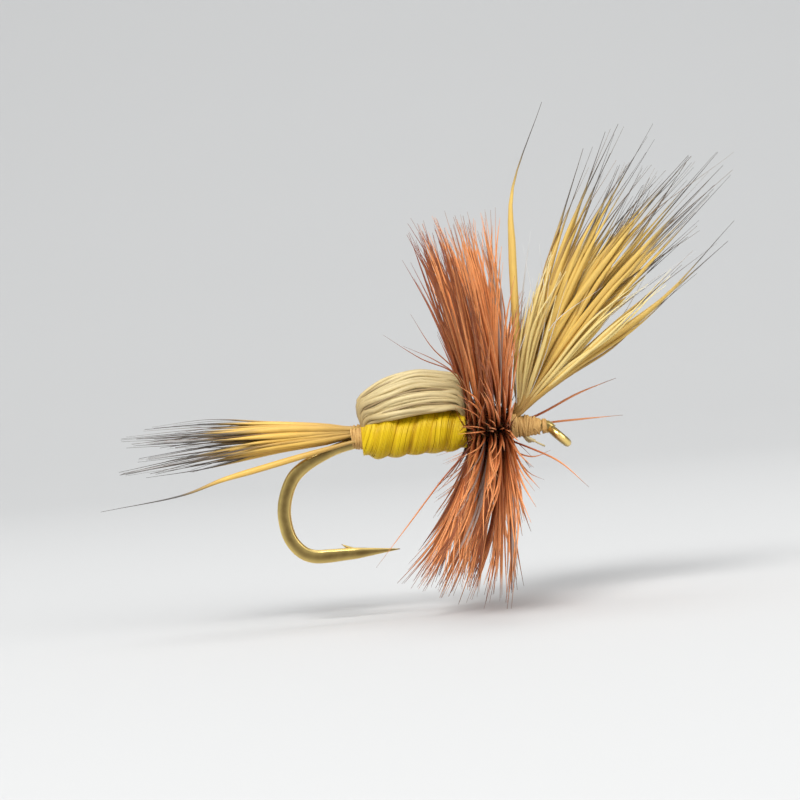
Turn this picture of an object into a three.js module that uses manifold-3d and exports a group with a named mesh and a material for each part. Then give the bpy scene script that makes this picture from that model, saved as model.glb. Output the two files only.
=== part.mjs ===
// Dry fly of the humpy pattern: a forged hook dressed with a hair tail, a floss body, a folded hair
// hump, two wound hackles, a pair of hair wings and a thread head.
// Millimetres. +X runs forward along the shank, +Y to the left side, +Z up, and the origin is the
// centre of the wire at the bottom of the bend, where the hook is held.
import * as THREE from 'three';
import { mergeVertices } from 'three/addons/utils/BufferGeometryUtils.js';
import Module from 'manifold-3d';

const wasm = await Module();
wasm.setup();

const { degToRad, lerp, smoothstep } = THREE.MathUtils;

// ---- Fit between pieces ----
const clearance = 0.03;

// ---- Hook ----
const wireRadius = 0.275;
const hookGape = 5.54;
const forgedHalfWidth = 0.34;
const forgedHalfThickness = 0.21;
const spearLength = 3.57;
const spearRootRadius = 0.285;
const pointRadius = 0.03;
const spearRise = 0.05;
const barbTipX = 0.7;
const barbLength = 0.7;
const barbHeight = 0.53;
const barbHalfThickness = 0.1;
const eyeWireRadius = 0.21;
const eyeOuterRadius = 0.725;
const eyeTurnDown = degToRad(45);

// ---- Lengths along the shank, from the rear tie forward ----
const tieStart = 1.6;
const tailTieLength = 0.62;
const bodyLength = 5.1;
const humpTieLength = 0.2;
const hackleTurnsEach = 4;
const hacklePitch = 0.24;
const wingTieLength = 0.38;
const wingStandLength = 0.42;
const headLength = 0.74;
const whipLength = 0.24;

// ---- Thicknesses of what is wound or bound on ----
const threadLayer = 0.06;
const tieLayer = 0.09;
const threadRidge = 0.035;
const flossThickness = 0.18;
const underbodyLeastWall = 0.04;
const flossRidge = 0.05;
const flossPitch = 0.65;
const bodyRadius = 1.09;
const bodyLift = 0.21;
const bodyRearRadius = 0.66;
const bodyFrontRadius = 0.94;
const coreSteps = 6;
const boundHairLayer = 0.165;
const stemRadius = 0.07;
const quillRadius = 0.065;
const headRadius = 0.58;
const headFrontRadius = 0.46;
const headLift = 0.13;
const whipRadius = 0.4;

// ---- Tail ----
const tailLength = 11.6;
const tailRootHalfHeight = 0.25;
const tailRootHalfWidth = 0.33;
const tailHairCount = 9;
const tailHairRadius = 0.17;
const tailSpreadUp = 0.75;
const tailSpreadDown = 1.35;
const tailSpreadSide = 0.95;
const tailLengthSpread = 0.1;
const lowHairRadius = 0.14;

// ---- Hump ----
const humpHeight = 2.05;
const humpHalfWidth = 1.32;
const humpLockCount = 5;

// ---- Hackle ----
const barbsPerTurn = 11;
const barbBaseRadius = 0.075;
const barbTipShare = 0.45;
const barbLengthTop = 11.0;
const barbLengthBottom = 8.3;
const barbLengthSpread = 0.08;
// Degrees forward of square to the shank, for the rearmost turn and the frontmost one.
const rearBarbLean = { top: -11, side: -6, bottom: -27 };
const frontBarbLean = { top: 1, side: 3, bottom: 1 };

// ---- Wings ----
const wingLength = 16.6;
const wingLengthSpread = 0.12;
const wingHairCount = 8;
const wingHairRadius = 0.2;
const wingLowAngle = degToRad(34);
const wingHighAngle = degToRad(70);
const wingSplay = 2.6;
const wingRootRadius = 0.2;
const looseHairHeight = 15.4;

// ---- Stations and radii that follow from the sizes above ----
const shankHeight = hookGape;
const tailTieFront = tieStart + tailTieLength;
const bodyRear = tailTieFront + clearance;
const bodyFront = bodyRear + bodyLength;
const humpTieRear = bodyFront + 2 * clearance;
const humpTieFront = humpTieRear + humpTieLength;
const hackleTurns = 2 * hackleTurnsEach;
const hackleRear = humpTieFront + clearance;
const hackleFront = hackleRear + hackleTurns * hacklePitch;
const wingTieRear = hackleFront + clearance;
const wingTieFront = wingTieRear + wingTieLength;
const headRear = wingTieFront + wingStandLength;
const headFront = headRear + headLength;
const whipRear = headFront + clearance;
const whipFront = whipRear + whipLength;
const shankFront = whipFront + clearance;

const boreRadius = wireRadius + clearance;
const threadRadius = boreRadius + threadLayer;
const overThread = threadRadius + clearance;
const boundHairRadius = overThread + boundHairLayer;
const quillInside = boundHairRadius + clearance;
const quillRing = quillInside + quillRadius;
const tailRootHeight = shankHeight + boreRadius + tailRootHalfHeight;
const wingRootHeight = shankHeight + overThread + wingRootRadius;

// ---- Shape tools ----

// The closed solid of a geometry: its vertices merged, with only their places kept.
function toSolid(geometry) {
  const bare = geometry.index ? geometry.clone() : geometry;
  bare.deleteAttribute('normal');
  bare.deleteAttribute('uv');
  const merged = mergeVertices(bare, 1e-5);
  const mesh = new wasm.Mesh({
    numProp: 3,
    vertProperties: new Float32Array(merged.attributes.position.array),
    triVerts: new Uint32Array(merged.index.array),
  });
  return new wasm.Manifold(mesh);
}

// A geometry made from a solid.
function toGeometry(solid) {
  const mesh = solid.getMesh();
  const geometry = new THREE.BufferGeometry();
  geometry.setAttribute('position', new THREE.BufferAttribute(mesh.vertProperties, 3));
  geometry.setIndex(new THREE.BufferAttribute(mesh.triVerts, 1));
  geometry.computeVertexNormals();
  return geometry;
}

// Geometries joined into one solid.
function join(geometries) {
  const solids = geometries.map(toSolid);
  return toGeometry(solids.reduce((joined, solid) => joined.add(solid)));
}

// A geometry with others cut away.
function cut(geometry, cutters) {
  const solid = toSolid(geometry);
  return toGeometry(cutters.map(toSolid).reduce((left, cutter) => left.subtract(cutter), solid));
}

// A capped cylinder bent onto a route. section gives the place of a rim point, across and up, from
// its place on the unit circle, its share of the way along and the route point there.
function bentCylinder(route, sides, rings, reference, section) {
  const geometry = new THREE.CylinderGeometry(1, 1, 1, sides, rings);
  const place = geometry.attributes.position;
  for (let i = 0; i < place.count; i += 1) {
    const along = THREE.MathUtils.clamp(place.getY(i) + 0.5, 0, 1);
    const point = route.getPointAt(along);
    const forward = route.getTangentAt(along);
    const across = new THREE.Vector3().crossVectors(forward, reference).normalize();
    const up = new THREE.Vector3().crossVectors(across, forward).normalize();
    const rim = section(place.getX(i), place.getZ(i), along, point);
    point.addScaledVector(across, rim.x).addScaledVector(up, rim.y);
    place.setXYZ(i, point.x, point.y, point.z);
  }
  return geometry;
}

const sideways = new THREE.Vector3(0, 1, 0);
const lengthwise = new THREE.Vector3(1, 0, 0);

// A round strand that thins from its root to its tip.
function strand(points, rootRadius, tipRadius, sides, rings, reference = sideways) {
  const route = new THREE.CatmullRomCurve3(points);
  const section = (x, y, along) => {
    const radius = lerp(rootRadius, tipRadius, along);
    return { x: x * radius, y: y * radius };
  };
  return bentCylinder(route, sides, rings, reference, section);
}

// A turned solid about the line y = 0, z = height: profile points are [x, radius].
function turned(profile, height, segments) {
  const outline = profile.map(([x, radius]) => new THREE.Vector2(radius, x));
  const geometry = new THREE.LatheGeometry(outline, segments);
  geometry.rotateZ(-Math.PI / 2);
  geometry.translate(0, 0, height);
  return geometry;
}

// A plain rod about the line y = 0, z = height.
function rod(rear, front, radius, height, segments = 16) {
  return turned([[rear, 0], [rear, radius], [front, radius], [front, 0]], height, segments);
}

// A sleeve about the line y = 0, z = height.
function sleeve(rear, front, inside, outside, height, segments = 16) {
  const profile = [[rear, inside], [rear, outside], [front, outside], [front, inside], [rear, inside]];
  return turned(profile, height, segments);
}

// A band of thread: one low ridge for each turn over a sleeve.
function threadBand(rear, front, inside, layer, height, turns) {
  const step = (front - rear) / turns;
  const crest = inside + layer;
  const profile = [[rear, inside], [rear, crest - threadRidge]];
  for (let turn = 0; turn < turns; turn += 1) {
    profile.push([rear + (turn + 0.5) * step, crest]);
    profile.push([rear + (turn + 1) * step, crest - threadRidge]);
  }
  profile.push([front, inside], [rear, inside]);
  return turned(profile, height, 16);
}

// A repeatable value from 0 to 1 for the place of a strand in its bunch.
function scatter(index, seed) {
  const wave = Math.sin(index * 12.9898 + seed * 78.233) * 43758.5453;
  return wave - Math.floor(wave);
}

// ---- Hook ----

// The wire's route: a short neck into the eye, the straight shank, the bend and the spear.
function hookRoute() {
  const bendShape = [
    [0.335, 0.994], [0.235, 0.977], [0.09, 0.935], [-0.17, 0.81], [-0.28, 0.7], [-0.366, 0.45],
    [-0.334, 0.19], [-0.235, 0.055], [-0.135, 0.008], [0, 0],
  ];
  const shankRear = new THREE.Vector3(Math.min(tailTieFront, hookGape * 0.4), 0, shankHeight);
  const neck = new THREE.Vector3(shankFront, 0, shankHeight);
  const eyeSide = neck.clone().addScaledVector(eyeDirection(), eyeWireRadius * 1.4);
  const route = new THREE.CurvePath();
  route.add(new THREE.LineCurve3(eyeSide, neck));
  route.add(new THREE.LineCurve3(neck, shankRear));
  route.add(new THREE.CatmullRomCurve3([
    shankRear,
    ...bendShape.map(([x, z]) => new THREE.Vector3(x * hookGape, 0, z * hookGape)),
    new THREE.Vector3(barbTipX, 0, spearRise / 4),
    new THREE.Vector3(spearLength, 0, spearRise),
  ]));
  return route;
}

function eyeDirection() {
  return new THREE.Vector3(Math.cos(eyeTurnDown), 0, -Math.sin(eyeTurnDown));
}

function hookGeometry() {
  const section = (x, y, along, point) => {
    const forged = 1 - smoothstep(point.z, hookGape * 0.74, hookGape * 0.97);
    let halfWidth = lerp(wireRadius, forgedHalfWidth, forged);
    let halfThickness = lerp(wireRadius, forgedHalfThickness, forged);
    if (point.z < hookGape / 2 && point.x > 0) {
      const barbRootX = barbTipX + barbLength;
      const rootShare = Math.min(point.x / barbRootX, 1);
      const tipShare = Math.max((point.x - barbRootX) / (spearLength - barbRootX), 0);
      halfWidth = lerp(lerp(halfWidth, spearRootRadius, rootShare), pointRadius, tipShare);
      halfThickness = lerp(halfThickness, pointRadius, tipShare);
    }
    const thickness = THREE.MathUtils.clamp(y * halfWidth, -halfThickness, halfThickness);
    return { x: x * halfWidth, y: thickness };
  };
  const wire = bentCylinder(hookRoute(), 12, 44, sideways, section);

  const barb = new THREE.Shape();
  barb.moveTo(barbTipX, barbHeight);
  barb.lineTo(barbTipX + barbLength * 0.3, spearRootRadius * 0.6);
  barb.lineTo(barbTipX + barbLength, 0);
  barb.lineTo(barbTipX + barbLength, spearRootRadius * 0.9);
  barb.lineTo(barbTipX + barbLength * 0.45, spearRootRadius + 0.08);
  const barbSolid = new THREE.ExtrudeGeometry(barb, { depth: 2 * barbHalfThickness, bevelEnabled: false });
  barbSolid.rotateX(Math.PI / 2);
  barbSolid.translate(0, barbHalfThickness, 0);

  const ring = new THREE.TorusGeometry(eyeOuterRadius - eyeWireRadius, eyeWireRadius, 8, 18);
  ring.rotateY(eyeTurnDown);
  const reach = eyeOuterRadius + wireRadius * 0.25;
  const centre = new THREE.Vector3(shankFront, 0, shankHeight).addScaledVector(eyeDirection(), reach);
  ring.translate(centre.x, centre.y, centre.z);
  return join([wire, barbSolid, ring]);
}

// ---- Thread and core pieces ----

function threadBaseGeometry() {
  return sleeve(bodyRear, headRear - clearance, boreRadius, threadRadius, shankHeight, 16);
}

function tailTieGeometry() {
  const below = boreRadius;
  const above = boreRadius + 2 * tailRootHalfHeight + clearance;
  const inside = (below + above) / 2;
  const height = shankHeight + (above - below) / 2;
  return threadBand(tieStart, tailTieFront, inside, tieLayer, height, 3);
}

function bodyProfileRadius(x) {
  const share = (x - bodyRear) / bodyLength;
  const rise = smoothstep(share, -0.02, 0.2);
  const fall = smoothstep(share, 0.8, 1.02);
  return lerp(lerp(bodyRearRadius, bodyRadius, rise), bodyFrontRadius, fall);
}

// The body's outline as [x, radius] points, grown or shrunk by an offset.
function bodyProfile(rear, front, steps, offset) {
  const points = [];
  for (let step = 0; step <= steps; step += 1) {
    const x = lerp(rear, front, step / steps);
    points.push([x, bodyProfileRadius(x) + offset]);
  }
  return points;
}

// The hair butts under the floss lie on top of the shank, so the body stands higher where it is fat.
function bodyLiftAt(x) {
  const room = bodyProfileRadius(x) - flossThickness - clearance - underbodyLeastWall - overThread;
  return Math.min(bodyLift, room);
}

// A solid turned about the shank, moved up by the body's lift.
function lifted(geometry) {
  const place = geometry.attributes.position;
  for (let i = 0; i < place.count; i += 1) {
    place.setZ(i, place.getZ(i) + bodyLiftAt(place.getX(i)));
  }
  return geometry;
}

function underbodyGeometry() {
  const side = bodyProfile(bodyRear, bodyFront, coreSteps, -flossThickness - clearance);
  const profile = [[bodyRear, 0], ...side, [bodyFront, 0]];
  const core = lifted(turned(profile, shankHeight, 16));
  return cut(core, [rod(bodyRear - 1, bodyFront + 1, overThread, shankHeight)]);
}

// The floss is wound in one helix, so its ridges slant: the radius swells once for each pitch and
// the swell moves forward by one pitch in each turn.
function bodyFlossGeometry() {
  const ridgeSteps = 3;
  const outer = bodyProfile(bodyRear, bodyFront, Math.round(bodyLength / flossPitch) * ridgeSteps, 0);
  const inner = bodyProfile(bodyRear, bodyFront, coreSteps, -flossThickness).reverse();
  const geometry = turned([...outer, ...inner, outer[0]], 0, 16);
  const place = geometry.attributes.position;
  for (let i = 0; i < place.count; i += 1) {
    const radius = Math.hypot(place.getY(i), place.getZ(i));
    const x = place.getX(i);
    if (radius > bodyProfileRadius(x) - flossThickness / 2) {
      const angle = Math.atan2(place.getZ(i), place.getY(i));
      const swell = flossRidge * Math.cos(2 * Math.PI * x / flossPitch - angle);
      const scale = (radius + swell) / radius;
      place.setXYZ(i, x, place.getY(i) * scale, place.getZ(i) * scale);
    }
  }
  geometry.translate(0, 0, shankHeight);
  return lifted(geometry);
}

function humpTieGeometry() {
  return threadBand(humpTieRear, humpTieFront, quillInside, tieLayer, shankHeight, 2);
}

// The wing hair's butts lie on the top of the shank under the hackle, as a saddle.
function wingButtsGeometry() {
  const saddle = new THREE.Shape();
  const start = degToRad(-18);
  const end = degToRad(198);
  saddle.absarc(0, 0, boundHairRadius, start, end, false);
  saddle.absarc(0, 0, overThread, end, start, true);
  const length = hackleFront - humpTieRear;
  const geometry = new THREE.ExtrudeGeometry(saddle, {
    depth: length, bevelEnabled: false, curveSegments: 10,
  });
  geometry.rotateX(Math.PI / 2);
  geometry.rotateZ(Math.PI / 2);
  geometry.translate(humpTieRear, 0, shankHeight);
  return geometry;
}

// A stripped quill end, bound along the underside of the shank.
function hackleStemGeometry(rear, front, side) {
  const distance = overThread + stemRadius;
  const angle = degToRad(26);
  const geometry = rod(rear, front, stemRadius, shankHeight - distance * Math.cos(angle), 8);
  geometry.translate(0, side * distance * Math.sin(angle), 0);
  return geometry;
}

// ---- Hair tail ----

function tailHairGeometry() {
  const rootFront = new THREE.Vector3(tailTieFront, 0, tailRootHeight);
  const rootRear = new THREE.Vector3(tieStart - 0.35, 0, tailRootHeight);
  const core = bentCylinder(new THREE.LineCurve3(rootFront, rootRear), 12, 1, sideways,
    (x, y) => ({ x: x * tailRootHalfHeight, y: y * tailRootHalfWidth }));
  const pieces = [core];
  for (let i = 0; i < tailHairCount; i += 1) {
    const fan = i / (tailHairCount - 1);
    const aside = ((i % 3) - 1) * tailSpreadSide;
    const reach = tailLength * (1 - tailLengthSpread * scatter(i, 1));
    const startHeight = tailRootHeight + lerp(-0.1, 0.1, fan);
    const place = (back, out, low, high) => new THREE.Vector3(
      tieStart - back, aside * out, startHeight + lerp(low, high, fan));
    const points = [
      place(-0.3, 0.13, 0, 0),
      place(0.4, 0.17, 0, 0),
      place(reach * 0.33, 0.45, -0.5, 0.55),
      place(reach * 0.68, 0.8, -0.9, 0.72),
      place(reach, 1, -tailSpreadDown, tailSpreadUp),
    ];
    pieces.push(strand(points, tailHairRadius, tailHairRadius * 0.3, 4, 5));
  }
  return join(pieces);
}

function lowTailHairGeometry() {
  const beside = -(wireRadius + clearance * 2 + lowHairRadius);
  const points = [
    new THREE.Vector3(tailTieFront, beside, shankHeight + 0.12),
    new THREE.Vector3(tieStart - 0.3, beside, shankHeight - 0.02),
    new THREE.Vector3(-0.5, beside - 0.05, shankHeight - 0.35),
    new THREE.Vector3(-4.98, beside - 0.3, shankHeight - 1.29),
    new THREE.Vector3(-7.6, beside - 0.4, shankHeight - 1.95),
    new THREE.Vector3(-11.06, beside - 0.5, shankHeight - 2.34),
  ];
  return strand(points, lowHairRadius, lowHairRadius * 0.3, 5, 10);
}

// ---- Hair hump ----

// One lock of the hump, seen from the side: up behind the body, over it and down to the front tie.
function humpLockShape(share) {
  const base = shankHeight + bodyLift + bodyRadius * 0.35;
  const top = shankHeight + bodyLift + bodyRadius + humpHeight * share;
  const front = humpTieRear - clearance;
  const at = (part, rise) => [lerp(tailTieFront - 0.2, front, part), lerp(base, top, rise)];
  const shape = new THREE.Shape();
  shape.moveTo(...at(0.06, 0));
  shape.bezierCurveTo(...at(0, 0.3), ...at(-0.03, 0.5), ...at(0.05, 0.62));
  shape.bezierCurveTo(...at(0.18, 0.85), ...at(0.38, 1), ...at(0.6, 1));
  shape.bezierCurveTo(...at(0.78, 1), ...at(0.86, 0.95), ...at(0.92, 0.82));
  shape.lineTo(front, shankHeight + boundHairRadius);
  shape.lineTo(front, base - 0.35);
  return shape;
}

function humpGeometry() {
  const width = 2 * humpHalfWidth / humpLockCount;
  const bevel = width * 0.2;
  const locks = [];
  for (let lock = 0; lock < humpLockCount; lock += 1) {
    const offset = lock - (humpLockCount - 1) / 2;
    const sideShare = Math.abs(offset) / (humpLockCount / 2);
    const shape = humpLockShape(1 - 0.62 * sideShare ** 2.2);
    const geometry = new THREE.ExtrudeGeometry(shape, {
      depth: width - bevel, bevelThickness: bevel, bevelSize: bevel, bevelOffset: -bevel,
      bevelSegments: 1, curveSegments: 4,
    });
    geometry.rotateX(Math.PI / 2);
    geometry.translate(0, offset * width + (width - bevel) / 2, 0);
    locks.push(geometry);
  }
  const rear = bodyRear - 2 * clearance;
  const front = bodyFront + 2 * clearance;
  const seatSide = bodyProfile(rear, front, 2 * coreSteps, flossRidge + clearance);
  const bodySeat = lifted(turned([[rear, 0], ...seatSide, [front, 0]], shankHeight, 24));
  return cut(join(locks), [bodySeat, tailTieSeat(), rod(rear, front + 1, overThread, shankHeight)]);
}

// The space of the rear tie, with its clearance.
function tailTieSeat() {
  const below = boreRadius;
  const above = boreRadius + 2 * tailRootHalfHeight + clearance;
  const outside = (below + above) / 2 + tieLayer + clearance;
  return rod(tieStart - 1, bodyRear, outside, shankHeight + (above - below) / 2, 24);
}

// ---- Hackle ----

// How far a barb of one turn leans: a smooth change from the top, down the side, to the bottom.
function turnLean(lean, around) {
  const low = (1 - Math.cos(around)) / 2;
  const sideChange = lean.side - (lean.top + lean.bottom) / 2;
  return lerp(lean.top, lean.bottom, low) + sideChange * Math.sin(around) ** 2;
}

function barbLean(share, around) {
  return degToRad(lerp(turnLean(rearBarbLean, around), turnLean(frontBarbLean, around), share));
}

function hackleTurnGeometry(turn) {
  const x = hackleRear + (turn + 0.5) * hacklePitch;
  const share = turn / (hackleTurns - 1);
  const quill = new THREE.TorusGeometry(quillRing, quillRadius, 5, 14);
  quill.rotateY(Math.PI / 2);
  quill.translate(x, 0, shankHeight);
  const pieces = [quill];
  for (let barb = 0; barb < barbsPerTurn; barb += 1) {
    const shifted = barb + scatter(barb, turn) * 0.5 + turn * 0.37;
    const around = 2 * Math.PI * shifted / barbsPerTurn;
    const lean = barbLean(share, around);
    const full = lerp(barbLengthBottom, barbLengthTop, (1 + Math.cos(around)) / 2);
    const length = full * (1 - barbLengthSpread * scatter(barb, turn + hackleTurns));
    const outward = new THREE.Vector3(0, Math.sin(around), Math.cos(around));
    const place = (distance, swing) => new THREE.Vector3(x, 0, shankHeight)
      .addScaledVector(outward, quillRing + distance * Math.cos(swing))
      .addScaledVector(lengthwise, distance * Math.sin(swing));
    const points = [place(0, 0), place(length * 0.5, lean * 0.9), place(length, lean)];
    pieces.push(strand(points, barbBaseRadius, barbBaseRadius * barbTipShare, 3, 2, lengthwise));
  }
  return join(pieces);
}

// ---- Wings ----

function wingGeometry(side, hasLooseHair) {
  const rootY = side * (wingRootRadius + 2 * clearance);
  const rootRear = new THREE.Vector3(wingTieRear, rootY, wingRootHeight);
  const bend = new THREE.Vector3(wingTieFront + 0.14, rootY, wingRootHeight + 0.05);
  const pieces = [strand([rootRear, bend], wingRootRadius, wingRootRadius, 8, 1)];
  for (let i = 0; i < wingHairCount; i += 1) {
    const fan = i / (wingHairCount - 1);
    const angle = lerp(wingLowAngle, wingHighAngle, fan);
    const reach = wingLength * (1 - wingLengthSpread * scatter(i, side + 3));
    const splay = side * wingSplay * (0.35 + 0.65 * scatter(i, side + 5));
    const place = (distance, tilt, aside) => new THREE.Vector3(
      bend.x + distance * Math.cos(angle + tilt),
      rootY + aside,
      bend.z + distance * Math.sin(angle + tilt),
    );
    const points = [
      new THREE.Vector3(bend.x - 0.2, rootY, bend.z - 0.02),
      place(0.45, degToRad(12), splay * 0.03),
      place(reach * 0.45, degToRad(4), splay * 0.5),
      place(reach, 0, splay),
    ];
    pieces.push(strand(points, wingHairRadius * 0.8, wingHairRadius * 0.25, 4, 5));
  }
  if (hasLooseHair) {
    const points = [
      new THREE.Vector3(bend.x - 0.1, rootY, bend.z),
      new THREE.Vector3(bend.x - 0.05, rootY, bend.z + 0.6),
      new THREE.Vector3(bend.x + 0.3, rootY + side * 0.3, bend.z + looseHairHeight * 0.53),
      new THREE.Vector3(bend.x + 0.5, rootY + side * 0.4, bend.z + looseHairHeight * 0.7),
      new THREE.Vector3(bend.x + 2.4, rootY + side * 0.6, bend.z + looseHairHeight),
    ];
    pieces.push(strand(points, wingHairRadius * 0.75, wingHairRadius * 0.25, 4, 8));
  }
  return join(pieces);
}

function wingTieGeometry() {
  const below = overThread;
  const above = overThread + 2 * wingRootRadius + clearance;
  const inside = (below + above) / 2;
  return threadBand(wingTieRear, wingTieFront, inside, tieLayer, shankHeight + (above - below) / 2, 3);
}

// ---- Head ----

// The head is wound over the wing's foot, so it stands higher at the rear than at the front.
function headGeometry() {
  const turns = 5;
  const profile = [[headRear, 0], [headRear, headRadius * 0.8]];
  for (let turn = 0; turn < turns; turn += 1) {
    const share = (turn + 0.5) / turns;
    const radius = lerp(headRadius, headFrontRadius, share ** 1.6);
    profile.push([lerp(headRear, headFront, share), radius]);
    profile.push([lerp(headRear, headFront, (turn + 1) / turns), radius - threadRidge]);
  }
  profile.push([headFront, 0]);
  const geometry = turned(profile, shankHeight, 16);
  const place = geometry.attributes.position;
  for (let i = 0; i < place.count; i += 1) {
    const share = (place.getX(i) - headRear) / headLength;
    place.setZ(i, place.getZ(i) + headLift * (1 - share));
  }
  return cut(geometry, [rod(headRear - 1, headFront + 1, boreRadius, shankHeight, 16)]);
}

function whipFinishGeometry() {
  return threadBand(whipRear, whipFront, boreRadius, whipRadius - boreRadius, shankHeight, 2);
}

// Hair ends left below the head where the wing's butts were trimmed.
function trimmedButtsGeometry() {
  const x = wingTieFront + 0.12;
  const low = shankHeight - overThread - 0.1;
  const stub = (forward, drop, y, radius) => strand([
    new THREE.Vector3(x, -0.12, low),
    new THREE.Vector3(x + forward * 0.45, y * 0.7 - 0.1, low - 0.12 - drop * 0.4),
    new THREE.Vector3(x + forward, y - 0.1, low - 0.12 - drop),
  ], radius, radius * 0.8, 5, 2);
  return join([stub(0.62, 0.1, -0.2, 0.09), stub(0.5, 0.2, 0.15, 0.08), stub(1.15, 0.42, -0.05, 0.06)]);
}

// ---- Materials ----

function finish(color, roughness, metalness = 0) {
  return () => new THREE.MeshStandardMaterial({ color, roughness, metalness });
}

const bronzedWire = finish(0xb08a3c, 0.28, 1);
const tanThread = finish(0xc9a878, 0.6);
const tanHair = finish(0xd9b878, 0.5);
const paleHair = finish(0xe0cda2, 0.5);
const yellowFloss = finish(0xe8cf1c, 0.45);
const rustFeather = finish(0xa8522a, 0.4);
const darkQuill = finish(0x4a1d14, 0.4);

// ---- Assembly ----

const fly = new THREE.Group();

function add(name, geometry, material) {
  const mesh = new THREE.Mesh(geometry, material());
  mesh.name = name;
  fly.add(mesh);
}

add('hook', hookGeometry(), bronzedWire);
add('thread_base', threadBaseGeometry(), tanThread);
add('tail_hair', tailHairGeometry(), tanHair);
add('tail_low_hair', lowTailHairGeometry(), tanHair);
add('tail_tie', tailTieGeometry(), tanThread);
add('underbody_hair', underbodyGeometry(), tanHair);
add('body_floss', bodyFlossGeometry(), yellowFloss);
add('hump_hair', humpGeometry(), paleHair);
add('hump_tie', humpTieGeometry(), tanThread);
add('wing_butts', wingButtsGeometry(), tanHair);
const hackleMiddle = (hackleRear + hackleFront) / 2;
add('rear_hackle_stem', hackleStemGeometry(hackleRear, hackleMiddle - clearance, 1), darkQuill);
add('front_hackle_stem', hackleStemGeometry(hackleMiddle + clearance, hackleFront, -1), darkQuill);
for (let turn = 0; turn < hackleTurns; turn += 1) {
  const feather = turn < hackleTurnsEach ? 'rear' : 'front';
  add(`${feather}_hackle_turn_${(turn % hackleTurnsEach) + 1}`, hackleTurnGeometry(turn), rustFeather);
}
add('wing_tie', wingTieGeometry(), tanThread);
add('left_wing', wingGeometry(1, false), tanHair);
add('right_wing', wingGeometry(-1, true), tanHair);
add('head_wraps', headGeometry(), tanThread);
add('whip_finish', whipFinishGeometry(), tanThread);
add('trimmed_butts', trimmedButtsGeometry(), paleHair);

export default fly;
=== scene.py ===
"""A dry fly of the humpy pattern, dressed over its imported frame.

Hair, feather barbs, floss and thread are all strands. A straight template strand is modelled once for
each kind, and every strand is a copy of it laid along its own route. Lengths are in millimetres until a
mesh is made, and meshes are in metres.
"""
import logging
import math
from dataclasses import dataclass
from enum import Enum

import bpy
import numpy as np
from mathutils import Matrix, Vector


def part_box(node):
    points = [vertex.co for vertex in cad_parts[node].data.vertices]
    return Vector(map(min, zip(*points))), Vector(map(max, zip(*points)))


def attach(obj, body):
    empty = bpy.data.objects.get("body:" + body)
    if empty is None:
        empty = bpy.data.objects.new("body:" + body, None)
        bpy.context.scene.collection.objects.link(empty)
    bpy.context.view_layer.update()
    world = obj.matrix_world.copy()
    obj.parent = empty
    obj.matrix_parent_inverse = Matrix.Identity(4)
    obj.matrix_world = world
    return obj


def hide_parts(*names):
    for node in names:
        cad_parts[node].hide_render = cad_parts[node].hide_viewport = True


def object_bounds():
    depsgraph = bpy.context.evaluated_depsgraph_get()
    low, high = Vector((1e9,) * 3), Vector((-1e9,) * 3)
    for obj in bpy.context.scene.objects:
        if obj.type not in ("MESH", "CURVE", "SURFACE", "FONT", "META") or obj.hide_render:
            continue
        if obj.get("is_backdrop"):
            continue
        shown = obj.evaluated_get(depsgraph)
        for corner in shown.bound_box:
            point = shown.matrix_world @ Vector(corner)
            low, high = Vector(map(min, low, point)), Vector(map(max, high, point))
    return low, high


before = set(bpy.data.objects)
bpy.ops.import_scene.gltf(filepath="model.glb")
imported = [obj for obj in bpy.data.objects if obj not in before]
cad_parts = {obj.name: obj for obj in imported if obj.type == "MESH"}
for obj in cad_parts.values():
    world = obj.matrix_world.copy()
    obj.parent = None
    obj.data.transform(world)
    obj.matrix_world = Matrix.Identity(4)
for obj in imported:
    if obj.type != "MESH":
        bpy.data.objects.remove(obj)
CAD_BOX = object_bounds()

LOG = logging.getLogger("dry_fly")
METRES = 0.001
STRAND_MAP = "OFBake"
TONE = "tone"
BODY = "root"
SIDEWAYS = np.array([0.0, 1.0, 0.0])
LENGTHWISE = np.array([1.0, 0.0, 0.0])
FULL_TURN = 2 * math.pi
GOLDEN_ANGLE = math.pi * (3 - math.sqrt(5))
Colour = tuple[float, float, float]
Point = tuple[float, float, float]
Values = np.ndarray | float
Piece = bpy.types.Object
Material = bpy.types.Material
Random = np.random.Generator


# ---- Frame places ----


@dataclass(frozen=True)
class Span:
    """The box of one frame node, in millimetres."""

    low: np.ndarray
    high: np.ndarray

    @classmethod
    def of(cls, node: str) -> "Span":
        """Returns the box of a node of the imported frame."""
        low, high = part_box(node)
        return cls(np.array(low) / METRES, np.array(high) / METRES)

    @property
    def centre(self) -> np.ndarray:
        """The middle of the box."""
        return (self.low + self.high) / 2

    @property
    def half(self) -> np.ndarray:
        """Half the box's sides."""
        return (self.high - self.low) / 2


@dataclass(frozen=True)
class Stations:
    """Where each material is tied along the shank, read from the frame."""

    shank: float
    tail_tie: Span
    body: Span
    hump_tie: Span
    wing_tie: Span
    whip: Span

    @classmethod
    def read(cls) -> "Stations":
        """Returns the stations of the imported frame."""
        nodes = ("tail_tie", "body_floss", "hump_tie", "wing_tie", "whip_finish")
        return cls(float(Span.of("thread_base").centre[2]), *(Span.of(node) for node in nodes))


# ---- Routes ----


def smoothstep(value: Values, low: float, high: float) -> Values:
    """Returns 0 below low, 1 above high and a smooth rise between them."""
    share = np.clip((np.asarray(value, float) - low) / (high - low), 0.0, 1.0)
    return share * share * (3 - 2 * share)


def blend(start: Values, end: Values, share: Values) -> Values:
    """Returns the value a share of the way from start to end."""
    return start + (end - start) * share


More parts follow.
